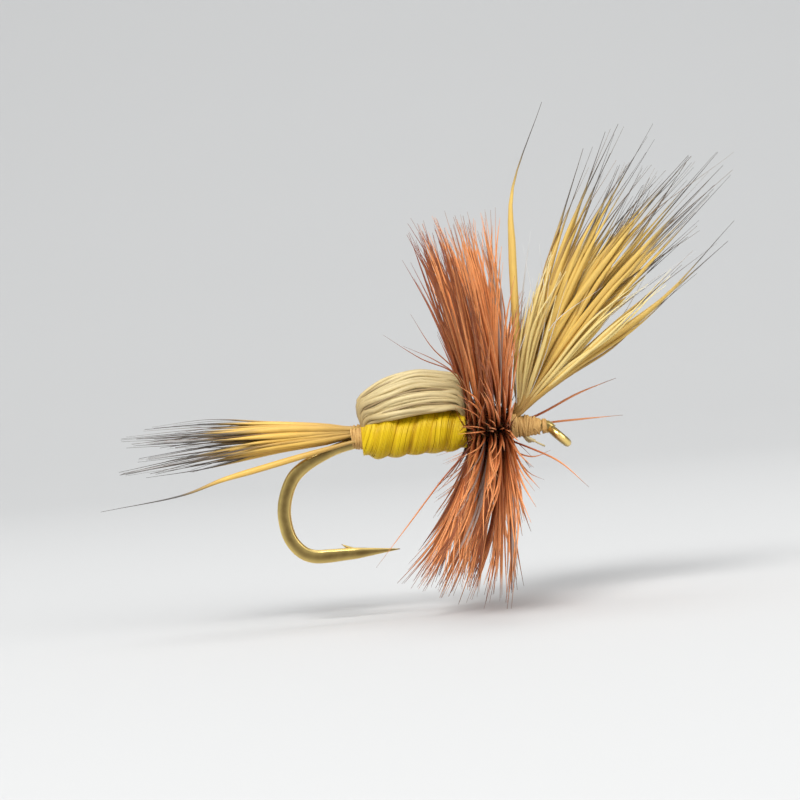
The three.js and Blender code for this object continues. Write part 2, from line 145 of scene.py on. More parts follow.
def smooth_route(points: np.ndarray, count: int) -> np.ndarray:
    """Draws a smooth curve through points and samples it at even distances.

    Args:
        points: The points to pass through, one per row.
        count: How many samples to return.

    Returns:
        The samples, one per row.
    """
    steps = np.sqrt(np.linalg.norm(np.diff(points, axis=0), axis=1)) + 1e-9
    knots = np.concatenate([[0.0], np.cumsum(steps)])
    slopes = np.diff(points, axis=0) / steps[:, None]
    before, after = steps[:-1, None], steps[1:, None]
    inner = (slopes[:-1] * after + slopes[1:] * before) / (before + after)
    tangents = np.vstack([slopes[:1], inner, slopes[-1:]])
    fine = np.linspace(0.0, knots[-1], 24 * len(points))
    piece = np.clip(np.searchsorted(knots, fine, side="right") - 1, 0, len(steps) - 1)
    step = steps[piece][:, None]
    t = (fine - knots[piece])[:, None] / step
    curve = (
        (2 * t**3 - 3 * t**2 + 1) * points[piece]
        + (t**3 - 2 * t**2 + t) * step * tangents[piece]
        + (3 * t**2 - 2 * t**3) * points[piece + 1]
        + (t**3 - t**2) * step * tangents[piece + 1]
    )
    lengths = np.concatenate([[0.0], np.cumsum(np.linalg.norm(np.diff(curve, axis=0), axis=1))])
    wanted = np.linspace(0.0, lengths[-1], count)
    return np.stack([np.interp(wanted, lengths, curve[:, axis]) for axis in range(3)], axis=1)


def around_line(x: Values, radius: Values, angle: Values, height: Values) -> np.ndarray:
    """Places points on circles round a line that runs lengthwise.

    Args:
        x: Places along the line.
        radius: Distances from it.
        angle: Angles from the top, in radians.
        height: The line's height.

    Returns:
        The points, one per row.
    """
    places = (x, radius * np.sin(angle), height + radius * np.cos(angle))
    return np.stack(np.broadcast_arrays(*places), axis=-1)


def packed_disc(count: int, rng: Random) -> np.ndarray:
    """Spreads points evenly over a unit disc in a spiral, each moved a little.

    Args:
        count: How many points.
        rng: The source of their small moves.

    Returns:
        The points, one per row.
    """
    index = np.arange(count) + 0.5
    radius = np.sqrt(index / count)
    angle = index * GOLDEN_ANGLE
    places = np.stack([radius * np.cos(angle), radius * np.sin(angle)], axis=1)
    return places * rng.uniform(0.9, 1.05, (count, 1))


# ---- Strands ----


def deselect_all() -> None:
    """Leaves nothing selected."""
    bpy.ops.object.select_all(action="DESELECT")


def select_only(pieces: list[Piece]) -> None:
    """Selects these objects alone and makes the first the active one.

    Args:
        pieces: The objects to select.
    """
    deselect_all()
    for piece in pieces:
        piece.select_set(True)
    bpy.context.view_layer.objects.active = pieces[0]


def join_pieces(pieces: list[Piece]) -> Piece:
    """Joins objects into one.

    Args:
        pieces: The objects; the first keeps its name.

    Returns:
        The first object.
    """
    select_only(pieces)
    bpy.ops.object.join()
    return pieces[0]


def face_outwards(piece: Piece) -> None:
    """Turns a piece's faces outwards.

    Args:
        piece: The object, whose mesh is closed or a plain tube.
    """
    select_only([piece])
    bpy.ops.object.mode_set(mode="EDIT")
    bpy.ops.mesh.select_all(action="SELECT")
    bpy.ops.mesh.normals_make_consistent(inside=False)
    bpy.ops.object.mode_set(mode="OBJECT")


def unit_tube(sides: int, rings: int, ends: str) -> Piece:
    """Models a tube of unit length and radius along +Z, ring by ring.

    Args:
        sides: How many faces go round it.
        rings: How many faces go along it.
        ends: The fill of its first circle, which its last ring gets too.

    Returns:
        The tube.
    """
    deselect_all()
    bpy.ops.mesh.primitive_circle_add(vertices=sides, radius=1.0, fill_type=ends)
    bpy.ops.object.mode_set(mode="EDIT")
    for _ in range(rings):
        bpy.ops.mesh.extrude_region_move(TRANSFORM_OT_translate={"value": (0.0, 0.0, 1.0 / rings)})
    bpy.ops.object.mode_set(mode="OBJECT")
    return bpy.context.object


def vertex_places(mesh: bpy.types.Mesh) -> np.ndarray:
    """Returns the places of a mesh's vertices."""
    return np.array([vertex.co for vertex in mesh.vertices])


def place_vertices(mesh: bpy.types.Mesh, places: np.ndarray) -> None:
    """Moves a mesh's vertices to places in millimetres."""
    mesh.vertices.foreach_set("co", (places * METRES).astype(np.float32).ravel())
    mesh.update()


def mark_strands(mesh: bpy.types.Mesh, places: np.ndarray, tones: np.ndarray) -> None:
    """Gives a mesh its strand map and its tones.

    Args:
        mesh: The mesh.
        places: Each face corner's place on the map.
        tones: Each vertex's tone.
    """
    layer = mesh.uv_layers.new(name=STRAND_MAP)
    layer.uv.foreach_set("vector", places.astype(np.float32).ravel())
    tone = mesh.attributes.new(TONE, "FLOAT", "POINT")
    tone.data.foreach_set("value", tones.astype(np.float32))


class StrandTemplate:
    """One straight strand of unit length and radius along +Z, which all strands of a kind copy."""

    def __init__(self, sides: int, rings: int) -> None:
        """Models the template and reads its mesh.

        Args:
            sides: How many faces go round it.
            rings: How many faces go along it.
        """
        rod = unit_tube(sides, rings, "NGON")
        face_outwards(rod)
        mesh = rod.data
        self.share = np.linspace(0, 1, rings + 1)
        self.places = vertex_places(mesh)
        self.ring_of = np.rint(self.places[:, 2] * rings).astype(int)
        self.corners = np.array([loop.vertex_index for loop in mesh.loops])
        self.sizes = np.array([face.loop_total for face in mesh.polygons])
        self.map = self._unrolled(mesh)
        bpy.data.objects.remove(rod, do_unlink=True)
        bpy.data.meshes.remove(mesh)

    def _unrolled(self, mesh: bpy.types.Mesh) -> np.ndarray:
        """Unrolls the strand onto its map, with the seam kept whole.

        Args:
            mesh: The strand's mesh.

        Returns:
            Each corner's share along and around the strand.
        """
        past_seam = 1.25
        found = np.empty((len(mesh.loops), 2))
        for face in mesh.polygons:
            at = self.places[list(face.vertices)]
            along = at[:, 2]
            around = np.arctan2(at[:, 1], at[:, 0]) / FULL_TURN % 1.0
            if np.ptp(along) < 1e-6:
                inward = 0.004 * (1.2 + at[:, 0])
                along = np.where(along < 0.5, inward, 1 - inward)
                around = 0.5 + 0.3 * at[:, 1]
            else:
                around = np.where((around < 0.5) & (np.ptp(around) > 0.5), around + 1, around)
            found[list(face.loop_indices)] = np.stack([along, around], axis=1)
        found[:, 1] = np.clip(found[:, 1], 0.0, past_seam) / past_seam
        return found

    def smooth(self, paths: list) -> np.ndarray:
        """Returns a smooth route through each path's points, with a sample for each ring."""
        return np.array([smooth_route(np.array(path), len(self.share)) for path in paths])

    def lay(
        self,
        name: str,
        routes: np.ndarray,
        radii: np.ndarray,
        reference: np.ndarray = SIDEWAYS,
        flatness: float = 1.0,
        tones: np.ndarray | None = None,
    ) -> Piece:
        """Returns one smooth-shaded object holding a copy of the template along each route.

        Args:
            name: The object's name.
            routes: Route samples in millimetres, strands by rings + 1 by 3.
            radii: Radius at each sample in millimetres, strands by rings + 1.
            reference: A direction that no route runs along. The strand's broad side is set by it.
            flatness: Thickness across the reference plane as a share of the other way.
            tones: A value from 0 to 1 for each strand, kept as the tone attribute.

        Returns:
            The new object, at the origin.
        """
        strands = len(routes)
        ahead = np.gradient(routes, axis=1)
        ahead /= np.linalg.norm(ahead, axis=2, keepdims=True)
        across = np.cross(ahead, reference)
        across /= np.linalg.norm(across, axis=2, keepdims=True)
        up = np.cross(ahead, across)
        rim = self.places[None, :, :2] * radii[:, self.ring_of, None]
        flat = rim[..., :1] * flatness * across[:, self.ring_of]
        places = routes[:, self.ring_of] + flat + rim[..., 1:] * up[:, self.ring_of]
        corners = self.corners[None] + (np.arange(strands) * len(self.places))[:, None]
        sizes = np.tile(self.sizes, strands)
        mesh = bpy.data.meshes.new(name)
        mesh.vertices.add(strands * len(self.places))
        mesh.loops.add(corners.size)
        mesh.loops.foreach_set("vertex_index", corners.astype(np.int32).ravel())
        mesh.polygons.add(len(sizes))
        mesh.polygons.foreach_set("loop_start", (np.cumsum(sizes) - sizes).astype(np.int32))
        mesh.polygons.foreach_set("use_smooth", np.ones(len(sizes), bool))
        place_vertices(mesh, places.reshape(-1, 3))
        mesh.update(calc_edges=True)
        # Each strand has its own lane on the map, with a margin on both sides.
        lanes = (np.arange(strands)[:, None] + 0.06 + 0.88 * self.map[None, :, 1]) / strands
        along = np.broadcast_to(self.map[None, :, 0], lanes.shape)
        if tones is None:
            tones = np.linspace(0.0, 1.0, strands)
        mark_strands(mesh, np.stack([along, lanes], axis=2), np.repeat(tones, len(self.places)))
        piece = bpy.data.objects.new(name, mesh)
        bpy.context.collection.objects.link(piece)
        return piece


# ---- Shader sheets ----


class Wire:
    """An output socket that takes part in Python arithmetic by adding Math nodes."""

    def __init__(self, sheet: "Sheet", socket: bpy.types.NodeSocket) -> None:
        """Wraps a socket of a sheet."""
        self.sheet = sheet
        self.socket = socket

    def __add__(self, other: "Wire | float") -> "Wire":
        """Returns self + other."""
        return self.sheet.maths("ADD", self, other)

    def __radd__(self, other: float) -> "Wire":
        """Returns other + self."""
        return self.sheet.maths("ADD", other, self)

    def __sub__(self, other: "Wire | float") -> "Wire":
        """Returns self - other."""
        return self.sheet.maths("SUBTRACT", self, other)

    def __rsub__(self, other: float) -> "Wire":
        """Returns other - self."""
        return self.sheet.maths("SUBTRACT", other, self)

    def __mul__(self, other: "Wire | float") -> "Wire":
        """Returns self * other."""
        return self.sheet.maths("MULTIPLY", self, other)

    def __rmul__(self, other: float) -> "Wire":
        """Returns other * self."""
        return self.sheet.maths("MULTIPLY", other, self)


class Sheet:
    """A material's node tree, with one Principled shader."""

    def __init__(self, name: str) -> None:
        """Starts a material with an empty tree.

        Args:
            name: The material's name.
        """
        self.material = bpy.data.materials.new(name)
        self.material.use_nodes = True
        self.tree = self.material.node_tree
        self.tree.nodes.clear()

    def node(
        self, kind: str, settings: dict | None = None, inputs: dict | None = None, output: int | str = 0
    ) -> Wire:
        """Adds a node and returns one of its outputs.

        Args:
            kind: The node's type.
            settings: Its properties; "stops" gives a colour ramp's positions and colours.
            inputs: Values or wires by socket name or number.
            output: The output to return.

        Returns:
            The output, wrapped.
        """
        made = self.tree.nodes.new(kind)
        for key, value in (settings or {}).items():
            if key == "stops":
                self._set_stops(made.color_ramp, value)
            else:
                setattr(made, key, value)
        for key, value in (inputs or {}).items():
            socket = made.inputs[key]
            if isinstance(value, Wire):
                self.tree.links.new(value.socket, socket)
            else:
                socket.default_value = value
        return Wire(self, made.outputs[output])

    @staticmethod
    def _set_stops(ramp: bpy.types.ColorRamp, stops: list[tuple[float, Colour]]) -> None:
        """Gives a ramp its stops.

        Args:
            ramp: The ramp.
            stops: Each stop's position and colour.
        """
        while len(ramp.elements) < len(stops):
            ramp.elements.new(1.0)
        for element, (position, colour) in zip(ramp.elements, stops):
            element.position = position
            element.color = (*colour, 1.0)

    def maths(self, operation: str, first: Wire | float, second: Wire | float = 0.0) -> Wire:
        """Returns the result of a Math node."""
        return self.node("ShaderNodeMath", {"operation": operation}, {0: first, 1: second})

    def mix(self, share: Wire | float, first: Wire | Colour, second: Wire | Colour, how: str = "MIX") -> Wire:
        """Mixes two colours.

        Args:
            share: The second colour's share.
            first: The first colour.
            second: The second colour.
            how: The blend type.

        Returns:
            The mixed colour.
        """
        ends = {6: first, 7: second}
        inputs = {key: end if isinstance(end, Wire) else (*end, 1.0) for key, end in ends.items()}
        settings = {"data_type": "RGBA", "blend_type": how}
        return self.node("ShaderNodeMix", settings, {0: share, **inputs}, 2)

    def strand(self) -> tuple[Wire, Wire, Wire]:
        """Reads the strand map and the strands' tones.

        Returns:
            The share along the strand, the place across the lanes and the tone.
        """
        place = self.node("ShaderNodeUVMap", {"uv_map": STRAND_MAP}, output="UV")
        along, across = (self.node("ShaderNodeSeparateXYZ", inputs={0: place}, output=axis) for axis in "XY")
        return along, across, self.node("ShaderNodeAttribute", {"attribute_name": TONE}, output="Fac")

    def noise(self, vector: Wire, detail: float = 3.0, scale: float = 1.0, roughness: float = 0.55) -> Wire:
        """Returns a noise value over a vector."""
        values = {"Vector": vector, "Scale": scale, "Detail": detail, "Roughness": roughness}
        return self.node("ShaderNodeTexNoise", inputs=values, output="Fac")

    def strand_noise(self, x: Wire | float, y: Wire | float, z: Wire | float, detail: float = 3.0) -> Wire:
        """Returns a noise value over a vector made of three values."""
        return self.noise(self.node("ShaderNodeCombineXYZ", inputs={"X": x, "Y": y, "Z": z}), detail)

    def object_place(self) -> Wire:
        """Returns the place in the object's own coordinates."""
        return self.node("ShaderNodeTexCoord", output="Object")

    def ramp(self, value: Wire, stops: list[tuple[float, Colour]]) -> Wire:
        """Returns a colour ramp's colour at a value."""
        return self.node("ShaderNodeValToRGB", {"stops": stops}, {"Fac": value}, "Color")

    def bump(self, height: Wire, distance: float, strength: float) -> Wire:
        """Returns a normal raised by a height, over a distance in metres."""
        values = {"Height": height, "Distance": distance, "Strength": strength}
        return self.node("ShaderNodeBump", inputs=values, output="Normal")

    def finish(self, colour: Wire, roughness: Wire | float, specular: float, **others: object) -> Material:
        """Sets the shader's sockets and returns the material.

        Args:
            colour: The base colour.
            roughness: The roughness.
            specular: The specular level, the same all over.
            others: Values or wires for more sockets, with _ for each space of their names.

        Returns:
            The material.
        """
        sockets = {"Base Color": colour, "Roughness": roughness, "Specular IOR Level": specular}
        sockets |= {name.replace("_", " "): value for name, value in others.items()}
        shader = self.node("ShaderNodeBsdfPrincipled", inputs=sockets)
        output = self.tree.nodes.new("ShaderNodeOutputMaterial")
        self.tree.links.new(shader.socket, output.inputs["Surface"])
        return self.material


# ---- Finishes ----


@dataclass(frozen=True)
class HairFinish:
    """Deer hair: pale at the root, golden along the middle and dark grey at the tip, with painted shade between
    the hairs.
    """

    name: str
    root: Colour
    middle: Colour
    tip: Colour
    tip_start: float
    tip_end: float
    shade: Colour
    root_end: float = 0.3
    ragged_tips: float = 0.16
    darkest_tones: float = 1.5
    streak_share: float = 0.88
    spot_colour: Colour = (1.0, 0.93, 0.78)
    spot_share: float = 0.7
    specular: float = 0.4

    def material(self) -> Material:
        """Makes the hair's material.

        Returns:
            The material.
        """
        sheet = Sheet(self.name)
        along, across, tone = sheet.strand()
        stops = [
            (0.0, self.root), (self.root_end, self.middle),
            (self.tip_start, self.middle), (self.tip_end, self.tip),
        ]
        colour = sheet.ramp(along + (tone - 0.5) * self.ragged_tips, stops)
        streak = sheet.strand_noise(along * 5.0, across * 620.0, tone * 9.0)
        mottle = sheet.strand_noise(along * 14.0, tone * 60.0, 0.0, 2.0)
        # Darker tones, mostly the thin hairs', are painted towards the shade colour, standing in for the shadow
        # between packed hairs.
        shaded = sheet.mix(tone * self.darkest_tones - 0.8, colour, self.shade)
        # Lengthwise streaks multiply the same painted shade in.
        streak_shaded = sheet.mix((streak - 0.42) * self.streak_share, shaded, self.shade, "MULTIPLY")
        spotted = sheet.mix((mottle - 0.5) * self.spot_share, streak_shaded, self.spot_colour, "SOFT_LIGHT")
        normal = sheet.bump(streak, 8e-6, 0.5)
        return sheet.finish(spotted, 0.36 + streak * 0.22, self.specular, Normal=normal)


@dataclass(frozen=True)
class BarbFinish:
    """Glossy feather barbs, darker near the quill, with painted shade and painted highlights, and a few grey
    ones.
    """

    name: str
    quill: Colour
    base: Colour
    middle: Colour
    bright: Colour
    tip: Colour
    grey: Colour
    base_end: float = 0.13
    middle_end: float = 0.34
    bright_start: float = 0.6
    bright_end: float = 0.84
    dark_from: float = 0.4
    dark_share: float = 1.7
    highlight_below: float = 0.34
    highlight_share: float = 1.9
    streak_share: float = 1.2
    grey_from: float = 0.9
    grey_share: float = 0.7
    specular: float = 0.32

    def material(self) -> Material:
        """Makes the barbs' material.

        Returns:
            The material.
        """
        sheet = Sheet(self.name)
        along, across, tone = sheet.strand()
        # Dark near the quill is partly the barbs' own colour and partly painted shade for the hackle's dark
        # core.
        stops = [
            (0.0, self.quill), (self.base_end, self.base), (self.middle_end, self.middle),
            (self.bright_start, self.bright), (self.bright_end, self.bright), (1.0, self.tip),
        ]
        colour = sheet.ramp(along + (tone - 0.5) * 0.1, stops)
        # Darker tones are painted towards the base colour, as shade between the barbs.
        dark = sheet.mix((tone - self.dark_from) * self.dark_share, colour, self.base)
        streak = sheet.strand_noise(along * 26.0, across * 300.0, tone * 20.0, 2.0)
        # Streaks are painted towards the quill colour, as shade between the barbs.
        lit = sheet.mix((streak - 0.45) * self.streak_share, dark, self.quill)
        # Lighter tones get the bright colour as a painted highlight.
        highlighted = sheet.mix((self.highlight_below - tone) * self.highlight_share, lit, self.bright)
        is_grey = sheet.maths("GREATER_THAN", tone, self.grey_from)
        fibre = sheet.mix(is_grey * self.grey_share, highlighted, self.grey)
        barbule = sheet.strand_noise(along * 150.0, across * 90.0, 0.0, 1.0)
        normal = sheet.bump(barbule, 6e-6, 0.6)
        return sheet.finish(fibre, 0.3 + barbule * 0.2, self.specular, Normal=normal)


@dataclass(frozen=True)
class FlossFinish:
    """Untwisted satin floss: bright where the fibres lie flat, with a darker orange painted shade in the
    grooves and streaks.
    """

    name: str
    bright: Colour
    groove_shade: Colour
    streak_share: float = 0.6
    specular: float = 0.32
    sheen: float = 0.03
    sheen_roughness: float = 0.3

    def material(self) -> Material:
        """Makes the floss's material.

        Returns:
            The material.
        """
        sheet = Sheet(self.name)
        along, across, tone = sheet.strand()
        streak = sheet.strand_noise(along * 40.0, across * 40.0, tone * 12.0)
        # High tones, on the fibres at the bands' edges, take the groove colour as painted shade.
        colour = sheet.mix(tone, self.bright, self.groove_shade)
        # Random streaks are painted towards the same shade.
        streaked = sheet.mix((streak - 0.4) * self.streak_share, colour, self.groove_shade)
        fine = sheet.strand_noise(along * 30.0, across * 210.0, 0.0, 2.0)
        sheen = {"Sheen_Weight": self.sheen, "Sheen_Roughness": self.sheen_roughness}
        normal = sheet.bump(fine, 6e-6, 0.6)
        return sheet.finish(streaked, 0.36 + fine * 0.2, self.specular, Normal=normal, **sheen)


@dataclass(frozen=True)
class ThreadFinish:
    """Waxed tying thread: a fine twist, with painted shade in its grooves and darker blotches."""

    name: str
    lit: Colour
    groove_shade: Colour
    roughness: float = 0.5
    specular: float = 0.3
    blotch_scale: float = 2600.0
    blotch_share: float = 0.8

    def material(self) -> Material:
        """Makes the thread's material.

        Returns:
            The material.
        """
        sheet = Sheet(self.name)
        along, across, tone = sheet.strand()
        twist = sheet.strand_noise(along * 90.0, across * 30.0 + along * 60.0, tone * 5.0, 2.0)
        blotch = sheet.noise(sheet.object_place(), 2.0, self.blotch_scale)
        # The twist's grooves take the darker groove colour as painted shade.
        colour = sheet.mix(twist, self.lit, self.groove_shade)
        # Blotches multiply in the same darker colour.
        blotched = sheet.mix((blotch - 0.35) * self.blotch_share, colour, self.groove_shade, "MULTIPLY")
        normal = sheet.bump(twist, 8e-6, 0.7)
        return sheet.finish(blotched, self.roughness + twist * 0.15, self.specular, Normal=normal)


@dataclass(frozen=True)
class WireFinish:
    """Forged wire in antique gold lacquer, with a painted highlight of gold along its edges and a browner
    painted reflection on its flats.
    """

    name: str
    gold: Colour
    brown: Colour
    patch_scale: float = 900.0
    grain_scale: float = 9000.0
    coat: float = 0.18
    coat_roughness: float = 0.12
    coat_tint: Colour = (1.0, 0.86, 0.55)

    def material(self) -> Material:
        """Makes the wire's material.

        Returns:
            The material.
        """
        sheet = Sheet(self.name)
        place = sheet.object_place()
        patch = sheet.noise(place, 4.0, self.patch_scale, 0.6)
        grain = sheet.noise(place, 3.0, self.grain_scale, 0.6)
        _, across, _ = sheet.strand()
        # The map's lane starts at the wire's outer edge, so the flats lie a quarter turn from it.
        turned = (across - 0.06) * (1.25 * 2 * FULL_TURN / 0.88)
        # Gold along the edges is a painted highlight, and brown on the flats a painted darker reflection.
        flat = 0.5 - sheet.maths("COSINE", turned) * 0.5
        return sheet.finish(
            sheet.mix(flat * 0.85 + (patch - 0.5) * 0.5, self.gold, self.brown),
            0.2 + grain * 0.14 + patch * 0.08,
            0.5,
            Metallic=1.0 - patch * 0.12,
            Coat_Weight=self.coat,
            Coat_Roughness=self.coat_roughness,
            Coat_Tint=(*self.coat_tint, 1.0),
            Normal=sheet.bump(grain, 3e-6, 0.35),
        )


@dataclass(frozen=True)
class StageFinish:
    """The pale matt surface that the fly stands in front of."""

    name: str
    pale: Colour

    def material(self) -> Material:
        """Makes the stage's material.

        Returns:
            The material.
        """
        sheet = Sheet(self.name)
        cloud = sheet.noise(sheet.object_place(), 2.0, 12.0)
        colour = sheet.mix(cloud * 0.12, self.pale, tuple(0.9 * part for part in self.pale))
        return sheet.finish(colour, 0.8, 0.2)


class Finish(Enum):
    """The fly's finishes, each with the record's slot that it stands for."""

    WIRE = ("bronzed_wire", WireFinish("antique_gold_wire", (0.90, 0.69, 0.25), (0.10, 0.058, 0.013)))
    THREAD = ("tan_thread", ThreadFinish("tan_tying_thread", (0.88, 0.58, 0.205), (0.24, 0.095, 0.02)))
    TAIL_HAIR = ("tan_hair", HairFinish(
        "golden_tail_hair", root=(0.40, 0.245, 0.065), middle=(0.67, 0.415, 0.085), tip=(0.085, 0.075, 0.065),
        tip_start=0.5, tip_end=0.68, shade=(0.2, 0.095, 0.03),
    ))
    HUMP_HAIR = ("pale_hair", HairFinish(
        "pale_hump_hair", root=(0.42, 0.30, 0.13), middle=(0.57, 0.46, 0.23), tip=(0.48, 0.38, 0.18),
        tip_start=0.7, tip_end=1.0, shade=(0.17, 0.095, 0.035),
    ))
    WING_HAIR = ("wing_hair", HairFinish(
        "straw_wing_hair", root=(0.29, 0.155, 0.042), middle=(0.64, 0.43, 0.105), tip=(0.09, 0.08, 0.07),
        tip_start=0.66, tip_end=0.8, shade=(0.26, 0.14, 0.04),
    ))
    SHORT_HAIR = ("wing_hair", HairFinish(
        "pale_short_hair", root=(0.36, 0.22, 0.07), middle=(0.72, 0.57, 0.22), tip=(0.76, 0.68, 0.40),
        tip_start=0.7, tip_end=1.0, shade=(0.4, 0.26, 0.09),
    ))
    UNDERFUR = ("wing_hair", HairFinish(
        "grey_underfur", root=(0.62, 0.60, 0.56), middle=(0.7, 0.69, 0.66), tip=(0.6, 0.6, 0.6),
        tip_start=0.7, tip_end=1.0, shade=(0.45, 0.43, 0.4),
    ))
    FLOSS = ("yellow_floss", FlossFinish("yellow_satin_floss", (0.66, 0.465, 0.0015), (0.44, 0.21, 0.001)))
    BARBS = ("rust_feather", BarbFinish(
        "rust_barbs", quill=(0.08, 0.014, 0.004), base=(0.20, 0.036, 0.01), middle=(0.57, 0.145, 0.03),
        bright=(0.92, 0.37, 0.135), tip=(0.22, 0.12, 0.08), grey=(0.52, 0.44, 0.38),
    ))
    # Painted shade: the web's dark colours stand in for the shadow in the hackle's core.
    WEB = ("rust_feather", BarbFinish(
        "shade_painted_root_web", quill=(0.04, 0.008, 0.003), base=(0.09, 0.017, 0.006), middle=(0.18, 0.035, 0.011),
        bright=(0.28, 0.065, 0.018), tip=(0.3, 0.085, 0.03), grey=(0.12, 0.08, 0.06),
    ))
    QUILL = ("dark_quill", ThreadFinish("dark_feather_quill", (0.07, 0.017, 0.007), (0.03, 0.007, 0.003), 0.35))

    def material(self) -> Material:
        """Returns the finish's material, made once."""
        name = self.value[1].name
        return bpy.data.materials.get(name) or self.value[1].material()

    def dress(self, piece: Piece) -> None:
        """Gives a piece this finish, and lets it ride on the fly.

        Args:
            piece: The piece.
        """
        piece.data.materials.clear()
        piece.data.materials.append(self.material())
        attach(piece, BODY)

    def dress_node(self, node: str) -> None:
        """Gives a frame node this finish.

        Args:
            node: The node's name.
        """
        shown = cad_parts[node]
        shown.data.materials.clear()
        shown.data.materials.append(self.material())


# ---- Hook ----


@dataclass(frozen=True)
class ForgedHook:
    """The hook: round wire, flattened through the bend, with a cut barb and a turned-down eye."""

    stations: Stations
    wire_radius: float = 0.275
    forged_half_width: float = 0.34
    forged_half_thickness: float = 0.21
    forged_below: float = 0.74
    round_above: float = 0.97
    edge_sharpness: int = 9
    spear_length: float = 3.57
    spear_root_radius: float = 0.285
    point_radius: float = 0.018
    barb_tip_x: float = 0.7
    barb_length: float = 0.7
    barb_height: float = 0.53
    eye_wire_radius: float = 0.21
    eye_outer_radius: float = 0.725
    eye_thinning: float = 0.3
    turn_down: float = math.radians(45)
    bend: tuple[tuple[float, float], ...] = (
        (0.4, 1.0), (0.335, 0.994), (0.235, 0.977), (0.09, 0.935), (-0.17, 0.81), (-0.28, 0.7), (-0.366, 0.45),
        (-0.334, 0.19), (-0.235, 0.055), (-0.135, 0.008), (0.0, 0.0),
    )

    @property
    def neck(self) -> float:
        """Where the wire turns down into the eye."""
        return self.stations.whip.high[0] + 0.03

    def route(self) -> np.ndarray:
        """Lays out the wire from the point to the neck of the eye.

        Returns:
            The points of its centre line.
        """
        gape = self.stations.shank
        points = [(self.spear_length, 0.05), (self.barb_tip_x, 0.012)]
        points += [(x * gape, z * gape) for x, z in reversed(self.bend)]
        points += [(x, gape) for x in np.linspace(self.bend[0][0] * gape + 0.4, self.neck, 8)]
        drop = 1.4 * self.eye_wire_radius
        points.append((self.neck + drop * math.cos(self.turn_down), gape - drop * math.sin(self.turn_down)))
        return np.array([(x, 0.0, z) for x, z in points])

    def build(self) -> Piece:
        """Makes the hook.

        Returns:
            The finished hook.
        """
        template = StrandTemplate(32, 230)
        routes = template.smooth([self.route()])
        wire = template.lay("forged_hook", routes, np.full(routes.shape[:2], self.wire_radius))
        self._forge(wire, routes[0])
        hook = join_pieces([wire, self._barb(), self._eye()])
        Finish.WIRE.dress(hook)
        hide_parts("hook")
        return hook

    def _forge(self, wire: Piece, route: np.ndarray) -> None:
        """Flattens the bend and grinds the point, ring by ring.

        Args:
            wire: The laid wire.
            route: Its centre line.
        """
        gape = self.stations.shank
        co = vertex_places(wire.data) / METRES
        nearest = np.argmin(np.linalg.norm(co[:, None] - route[None], axis=2), axis=1)
        centre = route[nearest]
        forged = 1 - smoothstep(centre[:, 2], self.forged_below * gape, self.round_above * gape)
        half_width = blend(self.wire_radius, self.forged_half_width, forged)
        half_thickness = blend(self.wire_radius, self.forged_half_thickness, forged)
        root = self.barb_tip_x + self.barb_length
        spear = (centre[:, 2] < gape / 2) & (centre[:, 0] > 0)
        to_root = np.where(spear, np.clip(centre[:, 0] / root, 0, 1), 0.0)
        to_tip = np.where(spear, np.clip((centre[:, 0] - root) / (self.spear_length - root), 0, 1), 0.0)
        half_width = blend(blend(half_width, self.spear_root_radius, to_root), self.point_radius, to_tip)
        half_thickness = blend(half_thickness, self.point_radius, to_tip)
        away = (co - centre) * (half_width / self.wire_radius)[:, None]
        squeezed = away[:, 1] / half_thickness
        # A soft clamp keeps a small radius along the edges of the forged flats.
        clamp = (1 + np.abs(squeezed) ** self.edge_sharpness) ** (1 / self.edge_sharpness)
        away[:, 1] = half_thickness * squeezed / clamp
        place_vertices(wire.data, centre + away)

    def _barb(self) -> Piece:
        """Makes the barb: a sliver raised from the top of the spear.

        Returns:
            The barb, undressed.
        """
        template = StrandTemplate(12, 14)
        tip = np.array([self.barb_tip_x - 0.03, 0.0, self.barb_height])
        foot = np.array([self.barb_tip_x + self.barb_length * 2.2, 0.0, self.spear_root_radius * 0.2])
        root = np.array([self.barb_tip_x + self.barb_length * 0.85, 0.0, self.spear_root_radius * 0.62])
        middle = blend(root, tip, 0.45) + np.array([0.03, 0.0, -0.03])
        radii = np.interp(template.share, (0.0, 0.45, 0.7, 1.0), (0.1, 0.155, 0.105, 0.012))
        return template.lay("hook_barb", template.smooth([(foot, root, middle, tip)]), radii[None])

    def _eye(self) -> Piece:
        """Makes the eye: a ring of wire, closed against the neck and thinned a little at its end.

        Returns:
            The eye, undressed.
        """
        ring_radius = self.eye_outer_radius - self.eye_wire_radius
        reach = self.eye_outer_radius + self.wire_radius * 0.25
        forward = np.array([math.cos(self.turn_down), 0.0, -math.sin(self.turn_down)])
        centre = np.array([self.neck, 0.0, self.stations.shank]) + reach * forward
        template = StrandTemplate(24, 96)
        turn = np.linspace(math.radians(-168), math.radians(177), len(template.share))
        route = centre + ring_radius * (np.outer(np.cos(turn), forward) + np.outer(np.sin(turn), SIDEWAYS))
        radii = self.eye_wire_radius * (1 - self.eye_thinning * smoothstep(template.share, 0.86, 1.0))
        square = np.cross(forward, SIDEWAYS)
        return template.lay("hook_eye", route[None], radii[None], reference=square)


# ---- Thread ----


